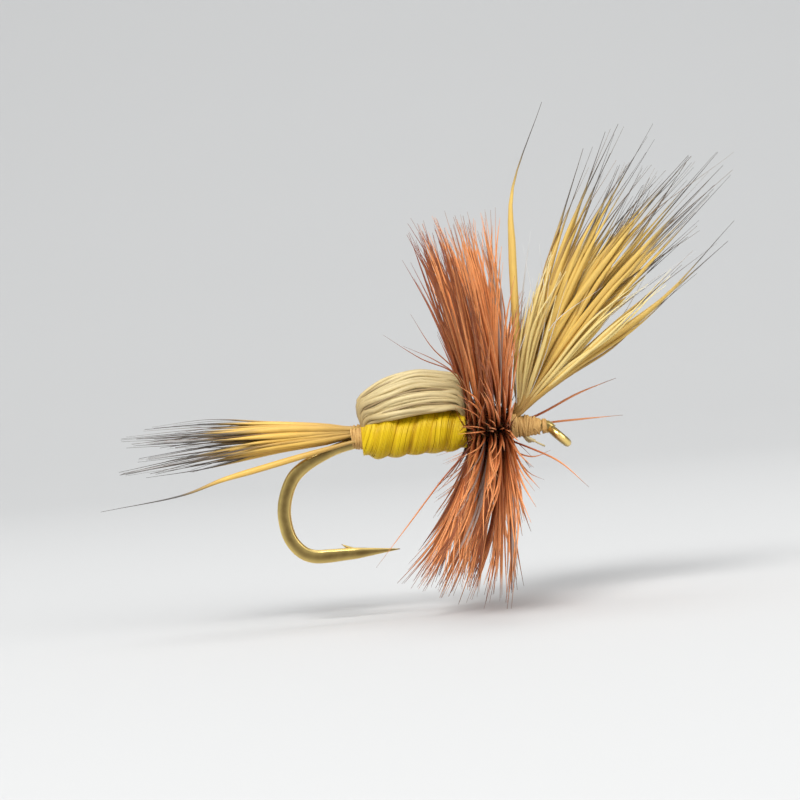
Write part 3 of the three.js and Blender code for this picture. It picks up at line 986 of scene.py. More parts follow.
@dataclass(frozen=True)
class ThreadBand:
    """A band of close thread turns over a node, in three layers that cross."""

    node: str
    name: str
    turns: int
    rear_radius: float
    front_radius: float
    seed: int
    thread_radius: float = 0.05
    rear_lift: float = 0.0
    swell: float = 0.0
    lumps: float = 0.008
    cross: float = 0.02
    rear_reach: float = 0.0
    front_reach: float = 0.0
    uneven: float = 0.012
    rings_per_turn: int = 28
    # From inside out: how far in a layer lies, and where along the band it starts and ends.
    layers: tuple[tuple[float, float, float], ...] = ((1.1, 0.0, 1.0), (0.75, 1.0, 0.0), (0.0, 0.0, 1.0))

    def build(self) -> Piece:
        """Winds the band.

        Returns:
            The finished band.
        """
        span = Span.of(self.node)
        rear = span.low[0] + self.thread_radius - self.rear_reach
        front = span.high[0] - self.thread_radius + self.front_reach
        template = StrandTemplate(8, self.turns * self.rings_per_turn)
        rng = np.random.default_rng(self.seed)
        share = template.share
        pieces = []
        for layer, (inset, start, end) in enumerate(self.layers):
            along = blend(start, end, share)
            bumps = 4 * self.turns
            wobble = np.interp(share, np.linspace(0, 1, bumps), rng.uniform(-1, 1, bumps))
            angle = FULL_TURN * (self.turns * share + 0.31 * layer)
            tilt = np.interp(share, np.linspace(0, 1, self.turns), rng.normal(0, 1, self.turns)) * np.cos(angle)
            x = np.clip(blend(rear, front, along) + wobble * self.uneven + self.cross * tilt, rear, front)
            radius = blend(self.rear_radius, self.front_radius, along**1.4)
            radius = radius + self.swell * np.sin(math.pi * along) + self.lumps * wobble
            radius = radius - self.thread_radius * (1 + 1.5 * inset)
            height = span.centre[2]
            if self.rear_lift:
                height = Span.of("thread_base").centre[2] + blend(self.rear_lift, 0.0, along)
            route = around_line(x, radius, angle, height)
            radii = np.full((1, len(route)), self.thread_radius)
            pieces.append(template.lay(self.name, route[None], radii, LENGTHWISE, 0.8, np.array([layer / 2])))
        band = join_pieces(pieces)
        Finish.THREAD.dress(band)
        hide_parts(self.node)
        return band


# ---- Floss body ----


@dataclass(frozen=True)
class FlossBody:
    """The body: floss wound forward as two flat bands side by side, so its ribs slant."""

    stations: Stations
    rear_radius: float = 0.66
    middle_radius: float = 1.09
    front_radius: float = 0.94
    lift: float = 0.21
    bands: int = 2
    rib: float = 0.92
    overlap: float = 0.58
    fibres: int = 27
    fibre_radius: float = 0.036
    ridge: float = 0.14
    drift: float = 0.08
    rings_per_turn: int = 44
    thread_clear: float = 0.395
    wall: float = 0.18
    sleeve_rings: int = 40
    sleeve_wall: float = 0.03
    seed: int = 5

    def radius(self, x: np.ndarray) -> np.ndarray:
        """Finds the body's radius.

        Args:
            x: Places along the shank.

        Returns:
            The radius at each.
        """
        span = self.stations.body
        share = (x - span.low[0]) / (span.high[0] - span.low[0])
        rise = smoothstep(share, -0.1, 0.13)
        fall = smoothstep(share, 0.8, 1.02)
        return blend(blend(self.rear_radius, self.middle_radius, rise), self.front_radius, fall)

    def height(self, x: np.ndarray) -> np.ndarray:
        """Returns the height of the body's centre at places along the shank."""
        room = self.radius(x) - self.wall - 0.07 - self.thread_clear
        return self.stations.shank + np.minimum(self.lift, room)

    def build(self) -> Piece:
        """Winds the body.

        Returns:
            The finished body.
        """
        span = self.stations.body
        pitch = self.bands * self.rib
        first, last = span.low[0] - pitch / 2, span.high[0] + pitch / 2
        turns = (last - first) / pitch
        template = StrandTemplate(6, int(turns * self.rings_per_turn))
        rng = np.random.default_rng(self.seed)
        turned = template.share * turns
        forward = blend(first, last, template.share)

        def wave(turns_each: float, phase: float = 0.0) -> np.ndarray:
            """Returns a wave along the band that repeats after so many turns."""
            return np.sin(FULL_TURN * turned / turns_each + phase)

        routes, tones = [], []
        for band in range(self.bands):
            angle = FULL_TURN * (turned + band / self.bands) + 0.9
            waves = 0.05 * wave(1.7) + 0.04 * wave(0.57, band)
            heap = 1 + 0.5 * wave(1.3, 1.0 + band) + 0.35 * wave(0.36)
            for fibre in range(self.fibres):
                offset = (fibre + 0.5) / self.fibres * 2 - 1
                # The floss turns over slowly, so a fibre drifts across the band as it is wound.
                drift = self.drift * wave(2.3, FULL_TURN * 0.13 * fibre) + rng.uniform(-0.02, 0.02)
                across = np.clip(offset + drift, -1.04, 1.04)
                x = forward + across * self.rib * self.overlap + waves
                # Past the ends of the body the fibre is tucked in under the turns.
                wound = np.clip(x, span.low[0] - 0.06, span.high[0] - 0.01)
                tuck = np.minimum(np.abs(x - wound), 0.45)
                crown = self.ridge * (heap * (1 - np.abs(across) ** 1.8) - 0.65)
                radius = self.radius(wound) + crown - self.fibre_radius - 0.6 * tuck
                routes.append(around_line(wound, radius, angle, self.height(wound)))
                # Fibres at a band's edges lie in the grooves, so their higher tone paints shade there.
                tones.append(0.06 + 0.6 * abs(offset) ** 3 + rng.uniform(-0.06, 0.08))
        routes = np.array(routes)
        radii = np.full(routes.shape[:2], self.fibre_radius)
        fibres = template.lay("floss_body", routes, radii, LENGTHWISE, 0.9, np.clip(tones, 0, 1))
        body = join_pieces([fibres, self._under_layer()])
        Finish.FLOSS.dress(body)
        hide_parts("body_floss")
        return body

    def _under_layer(self) -> Piece:
        """Makes the first layer of floss, a sleeve that fills the gaps between the turns.

        Returns:
            The sleeve, undressed.
        """
        span = self.stations.body
        sleeve = unit_tube(48, self.sleeve_rings, "NOTHING")
        sleeve.name = "floss_under_layer"
        mesh = sleeve.data
        co = vertex_places(mesh)
        x = blend(span.low[0] + 0.05, span.high[0] - 0.05, co[:, 2])
        radius = self.radius(x) - (self.fibre_radius + self.ridge * 0.55)
        place_vertices(mesh, np.stack([x, radius * co[:, 1], self.height(x) + radius * co[:, 0]], axis=1))
        for layer in list(mesh.uv_layers):
            mesh.uv_layers.remove(layer)
        at_corner = co[[loop.vertex_index for loop in mesh.loops]]
        places = np.stack([at_corner[:, 2], 0.5 + 0.4 * at_corner[:, 0]], axis=1)
        # The sleeve's tone of 0.6 paints it darker, as the shade in the gaps between the turns.
        mark_strands(mesh, places, np.full(len(co), 0.6))
        face_outwards(sleeve)
        wall = sleeve.modifiers.new("wall", "SOLIDIFY")
        wall.thickness = self.sleeve_wall * METRES
        wall.offset = -1.0
        bpy.ops.object.modifier_apply(modifier=wall.name)
        return sleeve


# ---- Hair ----


@dataclass(frozen=True)
class HairTaper:
    """How thick a deer hair is along its length: fine at the root, fat in the middle, a fine tip."""

    root: float
    belly: float
    tip: float
    belly_at: float = 0.35
    thin_from: float = 0.6
    thin_by: float = 1.0
    fine: float = 0.0

    def radii(self, share: np.ndarray, scale: np.ndarray) -> np.ndarray:
        """Finds the radii of strands of this taper.

        Args:
            share: Each sample's share of the length.
            scale: One thickness factor for each strand.

        Returns:
            Radii, strands by samples.
        """
        fat = blend(self.root, self.belly, smoothstep(share, 0.0, self.belly_at))
        neck = blend(fat, max(self.fine, self.tip), smoothstep(share, self.thin_from, self.thin_by) ** 0.8)
        radii = blend(neck, self.tip, smoothstep(share, self.thin_by - 0.1, 1.0))
        return scale[:, None] * radii[None]

    def lay(self, name: str, template: StrandTemplate, paths: list, hairs: list) -> Piece:
        """Lays hairs of this taper as one object.

        Args:
            name: The object's name.
            template: The hairs' template.
            paths: Each hair's points.
            hairs: Each hair's thickness factor and tone.

        Returns:
            The hairs, undressed.
        """
        scales, tones = np.array(hairs).T
        return template.lay(name, template.smooth(paths), self.radii(template.share, scales), tones=tones)


def mixed_hairs(rng: Random, *factors: float) -> tuple[float, float]:
    """Draws one hair's thickness and tone. Thin hairs mostly get the darker tones, which the hair finish paints
    towards its shade colour.

    Args:
        rng: The source of its draws.
        factors: The factors of a thin, a middling and a thick hair.

    Returns:
        The thickness factor and the tone.
    """
    kind = rng.choice(3, p=[0.32, 0.36, 0.32])
    factor = factors[kind] * rng.uniform(0.92, 1.08)
    tone = ((0.62, 1.0), (0.1, 0.75), (0.0, 0.6))[kind]
    return factor, rng.uniform(*tone)


@dataclass(frozen=True)
class Lock:
    """A few tail hairs that lie together and share a tip."""

    tip: Point
    count: int
    spread: float = 0.3
    bow: float = 0.0


@dataclass(frozen=True)
class HairTail:
    """The tail: a bunch of deer hair from the rear tie, and one hair that has dropped below it."""

    stations: Stations
    locks: tuple[Lock, ...] = (
        Lock((-9.65, -0.5, 6.68), 9, 0.26), Lock((-8.7, 0.35, 7.12), 8, 0.22, 0.1), Lock((-9.9, 0.6, 6.35), 7),
        Lock((-7.9, -0.2, 6.05), 9, 0.34), Lock((-9.2, 0.2, 5.6), 7), Lock((-9.95, -0.6, 4.97), 9, 0.26),
        Lock((-8.9, 0.5, 4.78), 7, 0.24), Lock((-7.6, -0.95, 5.35), 6, 0.26), Lock((-8.2, -1.0, 6.5), 6, 0.26),
        Lock((-6.7, 0.95, 5.2), 5, 0.24), Lock((-7.4, 0.9, 6.75), 6, 0.26, 0.06),
    )
    tip_height: float = 5.95
    tip_half_height: float = 1.15
    root_half_height: float = 0.26
    root_half_width: float = 0.36
    belly_x: float = -2.2
    belly_half_height: float = 0.74
    low_side: float = -0.49
    taper: HairTaper = HairTaper(0.09, 0.14, 0.009, 0.18, 0.42, 0.72, 0.03)
    low_taper: HairTaper = HairTaper(0.09, 0.165, 0.01, 0.3, 0.42, 0.74, 0.045)
    seed: int = 11

    def build(self) -> list[Piece]:
        """Returns the finished bunch and the low hair."""
        return [self._bunch(), self._low_hair()]

    def _bunch(self) -> Piece:
        """Makes the main bunch.

        Returns:
            The finished bunch.
        """
        rng = np.random.default_rng(self.seed)
        template = StrandTemplate(6, 18)
        paths, hairs = [], []
        for lock in self.locks:
            for place in packed_disc(lock.count, rng):
                paths.append(self._points(lock, place, rng))
                hairs.append(mixed_hairs(rng, 0.55, 0.88, 1.15))
        bunch = self.taper.lay("tail_hair_bunch", template, paths, hairs)
        Finish.TAIL_HAIR.dress(bunch)
        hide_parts("tail_hair")
        return bunch

    def _points(self, lock: Lock, place: np.ndarray, rng: Random) -> list:
        """Lays out one hair.

        Args:
            lock: The lock that it lies in.
            place: Its place in the lock's disc.
            rng: The source of its small changes.

        Returns:
            Its points.
        """
        tie = self.stations.tail_tie
        root_height = tie.high[2] - 0.12 - self.root_half_height
        across, rise = place
        tip = np.array(lock.tip)
        up = np.clip((tip[2] - self.tip_height) / self.tip_half_height, -1, 1)
        side = (0.72 * np.clip(tip[1], -1, 1) + 0.4 * across) * self.root_half_width
        height = root_height + (0.72 * up + 0.34 * rise) * self.root_half_height
        belly = (
            self.belly_x,
            0.66 * tip[1] + lock.spread * across + rng.normal(0, 0.05),
            root_height + 0.06 + 0.74 * up * self.belly_half_height + lock.spread * rise * 0.8 + lock.bow,
        )
        short = rng.choice([0.0, 0.5, 1.2, 2.4], p=[0.35, 0.3, 0.2, 0.15])
        reach = tip + np.array([short + rng.uniform(-0.15, 0.3), across * 0.18, rise * 0.13])
        late = blend(np.array(belly), reach, 0.52)
        late = late + np.array([0.0, across * 0.1, rise * lock.spread * 0.45 + lock.bow + rng.normal(0, 0.05)])
        return [
            (tie.high[0] - 0.02, side, height),
            (tie.low[0] - 0.05, side, height),
            (tie.low[0] - 1.25, side * 1.5, blend(height, belly[2], 0.42)),
            belly, late, reach,
        ]

    def _low_hair(self) -> Piece:
        """Makes the separate low hair.

        Returns:
            The finished hair.
        """
        tie, shank, side = self.stations.tail_tie, self.stations.shank, self.low_side
        tip = Span.of("tail_low_hair").low
        path = [
            (tie.high[0] - 0.05, side + 0.03, shank + 0.12),
            (tie.low[0] - 0.3, side, shank - 0.02),
            (-0.5, side - 0.04, shank - 0.37),
            (-2.9, side - 0.15, shank - 0.86),
            (-4.98, side - 0.3, shank - 1.29),
            (-6.87, side - 0.35, shank - 1.84),
            (tip[0] + 0.02, side - 0.5, tip[2] + 0.06),
        ]
        hair = self.low_taper.lay("tail_low_strand", StrandTemplate(10, 40), [path], [(1.0, 0.35)])
        Finish.TAIL_HAIR.dress(hair)
        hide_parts("tail_low_hair")
        return hair


@dataclass(frozen=True)
class HairHump:
    """The hump: hair folded up from the rear tie, forward over the body and down to the front tie."""

    stations: Stations
    layers: tuple[tuple[float, int], ...] = ((1.0, 40), (0.89, 38), (0.74, 28), (0.54, 16), (0.3, 6))
    widest_lean: float = 97.0
    half_width: float = 1.3
    crown: float = 8.84
    floor: float = 6.83
    drift: float = 0.085
    sway: float = 0.03
    taper: HairTaper = HairTaper(0.085, 0.118, 0.1, 0.12, 0.8)
    seed: int = 23

    def build(self) -> Piece:
        """Folds the hump.

        Returns:
            The finished hump.
        """
        rng = np.random.default_rng(self.seed)
        paths, hairs = [], []
        for level, count in self.layers:
            for index in range(count):
                share = (index + rng.uniform(0.2, 0.8)) / count
                lean = math.radians(blend(-self.widest_lean, self.widest_lean, share))
                paths.append(self._points(level * rng.uniform(0.975, 1.02), lean, rng))
                hairs.append(mixed_hairs(rng, 0.5, 0.85, 1.1))
        hump = self.taper.lay("hump_hair_clump", StrandTemplate(8, 26), paths, hairs)
        Finish.HUMP_HAIR.dress(hump)
        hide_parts("hump_hair")
        return hump

    def _points(self, level: float, lean: float, rng: Random) -> list:
        """Lays out one hair.

        Args:
            level: Its share of the way from the clump's middle to its outside.
            lean: Its angle from the top of the arch, in radians.
            rng: The source of its small changes.

        Returns:
            Its points.
        """
        rear = self.stations.tail_tie.high[0]
        front = self.stations.hump_tie.low[0]
        up, aside = level * math.cos(lean), level * math.sin(lean)
        drift = rng.normal(0, self.drift)
        # Stations along the hump: x for an inner and an outer hair, share of height, share of width.
        stations = (
            (rear + 0.12, rear + 0.04, -0.4, -0.27, 0.22),
            (rear + 0.16, rear - 0.12, -0.25, 0.15, 0.36),
            (rear + 0.36, rear - 0.04, -0.14, 0.4, 0.55),
            (rear + 0.85, rear + 0.26, -0.09, 0.54, 0.76),
            (rear + 1.7, rear + 1.3, -0.02, 0.79, 0.95),
            (rear + 2.9, rear + 2.85, 0.05, 1.0, 1.0),
            (front - 1.15, front - 1.0, 0.05, 0.89, 0.95),
            (front - 0.42, front - 0.2, 0.02, 0.74, 0.8),
            (front - 0.06, front - 0.01, -0.2, -0.05, 0.4),
        )
        points = []
        for inner, outer, low, high, width in stations:
            sway = rng.normal(0, self.sway, 3)
            x = blend(inner, outer, up)
            turned = drift * (1 - 2 * (x - rear) / (front - rear))
            z = self.floor + (self.crown - self.floor) * blend(low, high, up) + sway[2] - turned
            points.append((x + sway[0], self.half_width * width * aside + sway[1] + turned, z))
        return points


@dataclass(frozen=True)
class WingLock:
    """A lock of wing hair, by the angle and distance of its tip from the wing's base."""

    angle: float
    reach: float
    aside: float
    count: int
    spread: float = 0.42
    lift: float = 4.0
    thickness: float = 1.0


def wing_locks(*rows: tuple[float, ...]) -> tuple[WingLock, ...]:
    """Returns wing locks from rows of their fields."""
    return tuple(WingLock(*row) for row in rows)


@dataclass(frozen=True)
class HairWings:
    """The wings: two bunches of deer hair, raked forward and parted, with a little underfur."""

    stations: Stations
    right_locks: tuple[WingLock, ...] = wing_locks(
        (67.4, 15.6, 0.9, 2, 0.1, 4.0, 1.5), (66.0, 13.6, 1.5, 2, 0.12, 5.0, 1.4),
        (62.0, 13.4, 1.7, 5, 0.4, 4.5), (60.0, 15.8, 2.3, 4, 0.3), (56.0, 14.0, 1.2, 8, 0.52),
        (52.0, 15.2, 2.4, 6, 0.45), (48.2, 16.5, 1.6, 5, 0.36), (45.4, 15.6, 2.6, 5, 0.34),
        (42.4, 13.0, 1.1, 4, 0.3, 3.6), (38.0, 12.7, 2.2, 3, 0.16, 1.0, 1.2),
        (34.8, 14.3, 1.5, 3, 0.1, -0.8, 1.25), (34.2, 11.3, 0.8, 2, 0.12, 0.6),
    )
    left_locks: tuple[WingLock, ...] = wing_locks(
        (69.8, 14.0, 1.5, 3, 0.16, 3.5, 1.2), (65.0, 15.6, 2.2, 5, 0.36), (61.0, 13.8, 0.9, 7, 0.5),
        (57.0, 15.4, 2.5, 6, 0.42), (53.5, 14.0, 1.5, 7, 0.5), (50.0, 15.8, 2.1, 5, 0.38),
        (46.0, 14.2, 1.0, 6, 0.42), (43.0, 15.2, 2.3, 3, 0.2, 4.0), (40.0, 12.6, 1.5, 3, 0.2, 3.4),
    )
    right_short_locks: tuple[WingLock, ...] = wing_locks(
        (80.0, 6.2, 0.7, 5, 0.34, 2.0), (75.0, 8.2, 1.2, 6, 0.36, 3.0), (69.0, 7.4, 1.9, 6, 0.4),
        (44.0, 9.0, 2.2, 4, 0.3, 2.0), (37.5, 10.2, 2.4, 3, 0.2, 1.0),
    )
    left_short_locks: tuple[WingLock, ...] = wing_locks(
        (81.0, 5.6, 0.6, 4, 0.34, 2.0), (76.0, 7.4, 1.3, 5, 0.36, 3.0), (70.0, 8.4, 2.0, 5, 0.4),
        (46.0, 8.4, 2.3, 4, 0.3, 2.0),
    )
    middle_angle: float = 52.0
    upright_hair: tuple[float, float] = (1.35, 0.25)
    underfur_count: int = 30
    taper: HairTaper = HairTaper(0.1, 0.165, 0.01, 0.34, 0.52, 0.8, 0.035)
    short_taper: HairTaper = HairTaper(0.07, 0.1, 0.012, 0.3, 0.55)
    underfur_taper: HairTaper = HairTaper(0.024, 0.026, 0.006)
    seed: int = 37

    @property
    def tie_rear(self) -> float:
        """Where the hairs start in their tie."""
        return self.stations.wing_tie.low[0] + 0.04

    def base(self, side: int) -> np.ndarray:
        """Returns where a wing leaves its tie."""
        tie = self.stations.wing_tie
        return np.array([tie.high[0] + 0.14, side * 0.24, self.stations.shank + 0.66])

    def build(self) -> list[Piece]:
        """Makes the wings and the underfur.

        Returns:
            The finished pieces.
        """
        pieces = []
        wings = (
            (1, "left_wing", self.left_locks, self.left_short_locks),
            (-1, "right_wing", self.right_locks, self.right_short_locks),
        )
        for side, node, locks, short_locks in wings:
            wing = self._bunch(f"{node}_hair", side, locks, self.taper)
            Finish.WING_HAIR.dress(wing)
            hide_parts(node)
            short = self._bunch(f"{node}_short_hair", side, short_locks, self.short_taper)
            Finish.SHORT_HAIR.dress(short)
            pieces += [wing, short]
        pieces.append(self._underfur())
        return pieces

    def _hair(self, side: int, lock: WingLock, reach: float, root: np.ndarray, bend: np.ndarray) -> list:
        """Lays out one hair.

        Args:
            side: 1 on the left, -1 on the right.
            lock: The lock that it lies in.
            reach: Its length from the base.
            root: Its place in the lock's disc.
            bend: Three small bends, in degrees.

        Returns:
            Its points.
        """
        base = self.base(side)
        fan = (lock.angle - self.middle_angle) / 20.0

        def place(distance: float, tilt: float, share: float, apart: float) -> Point:
            """Places a point by its distance from the base.

            Args:
                distance: How far from the base.
                tilt: Degrees added to the lock's angle.
                share: Share of the lock's sideways reach.
                apart: How far the lock's hairs stand apart here.

            Returns:
                The point.
            """
            turned = math.radians(lock.angle + tilt)
            away = root[1] * apart
            return (
                base[0] + distance * math.cos(turned) - away * math.sin(turned),
                base[1] + root[0] * apart + side * lock.aside * share,
                base[2] + distance * math.sin(turned) + away * math.cos(turned),
            )

        foot = base[2] - 0.08 + (0.6 * fan + 0.5 * root[1]) * 0.13
        inner = base[1] + 0.1 * root[0] + 0.06 * side * (lock.aside - 1.5)
        return [
            (self.tie_rear, inner, foot),
            (base[0] - 0.22, inner, foot + 0.01),
            place(0.6, 9 - 2 * fan, 0.02, 0.13),
            place(reach * 0.3, lock.lift + 1.5 + bend[0], 0.3, lock.spread * 0.75),
            place(reach * 0.62, lock.lift * 0.8 + bend[1], 0.66, lock.spread),
            place(reach, bend[2], 1.0, lock.spread * 0.42),
        ]

    def _bunch(self, name: str, side: int, locks: tuple[WingLock, ...], taper: HairTaper) -> Piece:
        """Makes the hair of one wing's locks.

        Args:
            name: The piece's name.
            side: 1 on the left, -1 on the right.
            locks: The locks.
            taper: How the hairs thin.

        Returns:
            The hair, undressed.
        """
        rng = np.random.default_rng(self.seed + side + len(locks))
        paths, hairs = [], []
        for lock in locks:
            for place in packed_disc(lock.count, rng):
                reach = lock.reach * rng.choice([1.0, 0.94, 0.84], p=[0.5, 0.3, 0.2]) * rng.uniform(0.97, 1.01)
                paths.append(self._hair(side, lock, reach, place, rng.normal(0, 1.1, 3)))
                factor, tone = mixed_hairs(rng, 0.45, 0.8, 1.1)
                hairs.append((factor * lock.thickness, tone))
        if locks is self.right_locks:
            paths.append(self._upright_hair())
            hairs.append(self.upright_hair)
        return taper.lay(name, StrandTemplate(6, 18), paths, hairs)

    def _upright_hair(self) -> list:
        """Lays out the one hair that stands almost upright.

        Returns:
            Its points.
        """
        x, y, z = self.base(-1)
        top = Span.of("right_wing").high[2]
        rise = top - z
        return [
            (self.tie_rear, y, z), (x - 0.15, y, z + 0.12), (x - 0.02, y - 0.05, z + 0.9),
            (x + 0.18, y - 0.2, z + rise * 0.3), (x + 0.32, y - 0.3, z + rise * 0.54),
            (x + 0.55, y - 0.4, z + rise * 0.72), (x + 2.4, y - 0.6, top - 0.03),
        ]

    def _underfur(self) -> Piece:
        """Makes the fine grey hairs that stay among the wing hair.

        Returns:
            The finished underfur.
        """
        rng = np.random.default_rng(self.seed + 9)
        template = StrandTemplate(4, 14)
        paths = []
        for index in range(self.underfur_count):
            side = -1 if index % 3 else 1
            angle, aside = rng.uniform(38, 84), rng.uniform(0.2, 1.6)
            lock = WingLock(angle, 0.0, aside, 1, rng.uniform(0.2, 0.6), rng.uniform(0, 6))
            reach = rng.uniform(5.5, 9.5) * (1.35 if angle < 58 else 1.0)
            paths.append(self._hair(side, lock, reach, rng.uniform(-1, 1, 2), rng.normal(0, 3.0, 3)))
        radii = self.underfur_taper.radii(template.share, rng.uniform(0.7, 1.3, len(paths)))
        tones = rng.uniform(0, 0.5, len(paths))
        fur = template.lay("wing_underfur", template.smooth(paths), radii, tones=tones)
        Finish.UNDERFUR.dress(fur)
        return fur


# ---- Hackle ----


@dataclass(frozen=True)
class BarbGroup:
    """Neighbouring barbs that cling together, so they lean, bend and shine alike."""

    lean: float
    grey: bool
    bend: float
    twist: float
    length: float
    tone: float

    @classmethod
    def drawn(cls, rng: Random) -> "BarbGroup":
        """Draws a group's values, in their order.

        Args:
            rng: The source of its draws.

        Returns:
            The group.
        """
        return cls(
            lean=rng.uniform(-2.4, 2.4),
            grey=rng.uniform() < 0.05,
            bend=math.radians(rng.normal(-1.3, 2.9)),
            twist=rng.normal(0, 0.05),
            length=rng.uniform(0.9, 1.02),
            tone=rng.uniform(0, 1),
        )


@dataclass(frozen=True)
class HackleCollar:
    """The hackle: two feathers wound turn by turn, their barbs standing out like a brush."""

    stations: Stations
    turns_each: int = 4
    barbs_per_turn: int = 114
    gathered: int = 6
    barb_radius: float = 0.05
    barb_flatness: float = 0.62
    pressed: float = 0.25
    contrast: float = 1.5
    alike: float = 0.64
    brightest: float = 0.88
    web_count: int = 760
    quill_ring: float = 0.655
    quill_radius: float = 0.075
    top_length: float = 10.8
    bottom_length: float = 8.25
    seed: int = 53

    def build(self) -> list[Piece]:
        """Winds the feathers and adds the stray barbs and the root web.

        Returns:
            The finished pieces.
        """
        turns = 2 * self.turns_each
        rear = self.stations.hump_tie.high[0] + 0.03
        front = self.stations.wing_tie.low[0] - 0.03
        pitch = (front - rear) / turns
        barb = StrandTemplate(4, 9)
        quill = StrandTemplate(10, 40)
        pieces = []
        for turn in range(turns):
            feather = "rear" if turn < self.turns_each else "front"
            number = turn % self.turns_each + 1
            name = f"{feather}_feather_turn_{number}"
            x = rear + (turn + 0.5) * pitch
            barbs = self._barbs(name, barb, turn, turn / (turns - 1), x, pitch)
            angle = FULL_TURN * quill.share
            ring = around_line(x + (quill.share - 0.5) * pitch, self.quill_ring, angle, self.stations.shank)
            radii = np.full((1, len(ring)), self.quill_radius)
            stem = quill.lay(f"{name}_quill", ring[None], radii, LENGTHWISE, 0.8, np.array([0.5]))
            Finish.BARBS.dress(barbs)
            stem.data.materials.append(Finish.QUILL.material())
            wound = join_pieces([barbs, stem])
            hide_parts(f"{feather}_hackle_turn_{number}")
            pieces.append(wound)
        return pieces + [self._strays(front), self._web(rear, front)]

    @staticmethod
    def lean(share: float, around: float) -> float:
        """Finds how far a barb leans forward of square to the shank.

        Args:
            share: Its turn's share of the way from the rear turn to the front one.
            around: Its angle from the top, in radians.

        Returns:
            The lean, in degrees.
        """
        low = (1 - math.cos(around)) / 2
        beside = math.sin(around) ** 2
        rear = blend(-11, -27, low) + 13 * beside
        front = blend(1, -3, low) + 2 * beside
        return blend(rear, front, share)

    def _barbs(
        self, name: str, template: StrandTemplate, turn: int, share: float, x: float, pitch: float
    ) -> Piece:
        """Makes the barbs of one turn of a feather.

        Args:
            name: The piece's name.
            template: The barbs' template.
            turn: The turn's number, which sets its random draws.
            share: The turn's share of the way from rear to front.
            x: The turn's place along the shank.
            pitch: The distance between turns.

        Returns:
            The barbs, undressed.
        """
        rng = np.random.default_rng(self.seed + turn)
        spacing = FULL_TURN / self.barbs_per_turn
        part = np.array([0.0, 0.12, 0.4, 0.7, 1.0])
        paths, scales, tones = [], [], []
        for index in range(self.barbs_per_turn):
            if index % self.gathered == 0:
                group = BarbGroup.drawn(rng)
            placed = FULL_TURN * (index + rng.uniform(0, 1)) / self.barbs_per_turn
            # Barbs at the sides are pressed up and down by the wing and the body.
            around = placed - self.pressed * math.sin(2 * placed)
            lean = math.radians(self.lean(share, around) + group.lean + rng.uniform(-1.6, 1.6))
            length = blend(self.bottom_length, self.top_length, (1 + math.cos(around)) / 2) * group.length
            length *= rng.choice([1.0, 0.95, 0.86, 0.62], p=[0.45, 0.3, 0.17, 0.08]) * rng.uniform(0.95, 1.02)
            # Some of the lowest barbs in front are short and swept ahead.
            if share > 0.7 and math.cos(around) < -0.5 and rng.uniform() < 0.3:
                lean += math.radians(8)
                length *= 0.6
            to_group = (self.gathered - 1) / 2 - index % self.gathered
            upright = 1 - 0.9 * math.sin(around) ** 2
            curl = upright * rng.normal(0.0, 0.03)
            twist = upright * (group.twist + 0.55 * to_group * spacing)
            sweep = lean * (0.72 + 0.28 * part) + group.bend * part**2
            forward = x + (around / FULL_TURN - 0.5) * pitch + length * part * np.sin(sweep)
            radial = self.quill_ring + length * part * np.cos(sweep)
            turned = around + twist * part + curl * part**2
            paths.append(around_line(forward, radial, turned, self.stations.shank))
            scales.append(rng.uniform(0.7, 1.2))
            tone = 0.5 + self.contrast * (blend(rng.uniform(0, 1), group.tone, self.alike) - 0.5)
            # Rear turns get darker tones, and so more of the finish's painted shade; front turns get lighter
            # ones.
            tone = min(max(tone + 0.45 * (0.5 - share), 0.0), self.brightest)
            tones.append(1.0 if group.grey and rng.uniform() < 0.6 else tone)
        taper = self._taper(template.share, self.barb_radius, 0.047, 0.66, 0.84)
        radii = np.array(scales)[:, None] * taper[None]
        routes = template.smooth(paths)
        return template.lay(name, routes, radii, LENGTHWISE, self.barb_flatness, np.array(tones))

    @staticmethod
    def _taper(share: np.ndarray, root: float, tip: float, from_share: float, thinning: float) -> np.ndarray:
        """Returns a barb's radius along its length.

        Args:
            share: Shares of the length.
            root: The radius at the quill.
            tip: The radius that it would have at the tip.
            from_share: Where its tip starts to thin.
            thinning: How much of the radius the tip loses.
        """
        return blend(root, tip, share) * (1 - thinning * smoothstep(share, from_share, 1.0))

    def _web(self, rear: float, front: float) -> Piece:
        """Makes the short web at the feathers' roots, pressed among the turns, in dark colours that paint the
        shade in the hackle's core.

        Args:
            rear: Where the first turn starts.
            front: Where the last turn ends.

        Returns:
            The finished web.
        """
        rng = np.random.default_rng(self.seed + 40)
        template = StrandTemplate(3, 4)
        part = np.array([0.0, 0.5, 1.0])
        paths = []
        for _ in range(self.web_count):
            around = rng.uniform(0, FULL_TURN)
            # The web reaches back over the hump tie, to paint the shade that falls on it.
            x = blend(rear - 0.3, front - 0.05, rng.uniform())
            length = rng.uniform(0.5, 1.9) * part
            twist, bend = rng.normal(0, 0.5, 2)
            turned = around + 0.6 * twist * part**2
            forward = x + 0.55 * bend * length
            paths.append(around_line(forward, self.quill_ring + 0.8 * length, turned, self.stations.shank))
        radii = rng.uniform(0.7, 1.3, self.web_count)[:, None] * blend(0.045, 0.01, template.share)[None]
        tones = rng.uniform(0, 1, self.web_count)
        web = template.lay("hackle_root_web", template.smooth(paths), radii, LENGTHWISE, 0.7, tones)
        Finish.WEB.dress(web)
        return web

    def _strays(self, front: float) -> Piece:
        """Makes the few barbs that the turns have pushed out of line.

        Args:
            front: Where the last turn ends.

        Returns:
            The finished barbs.
        """
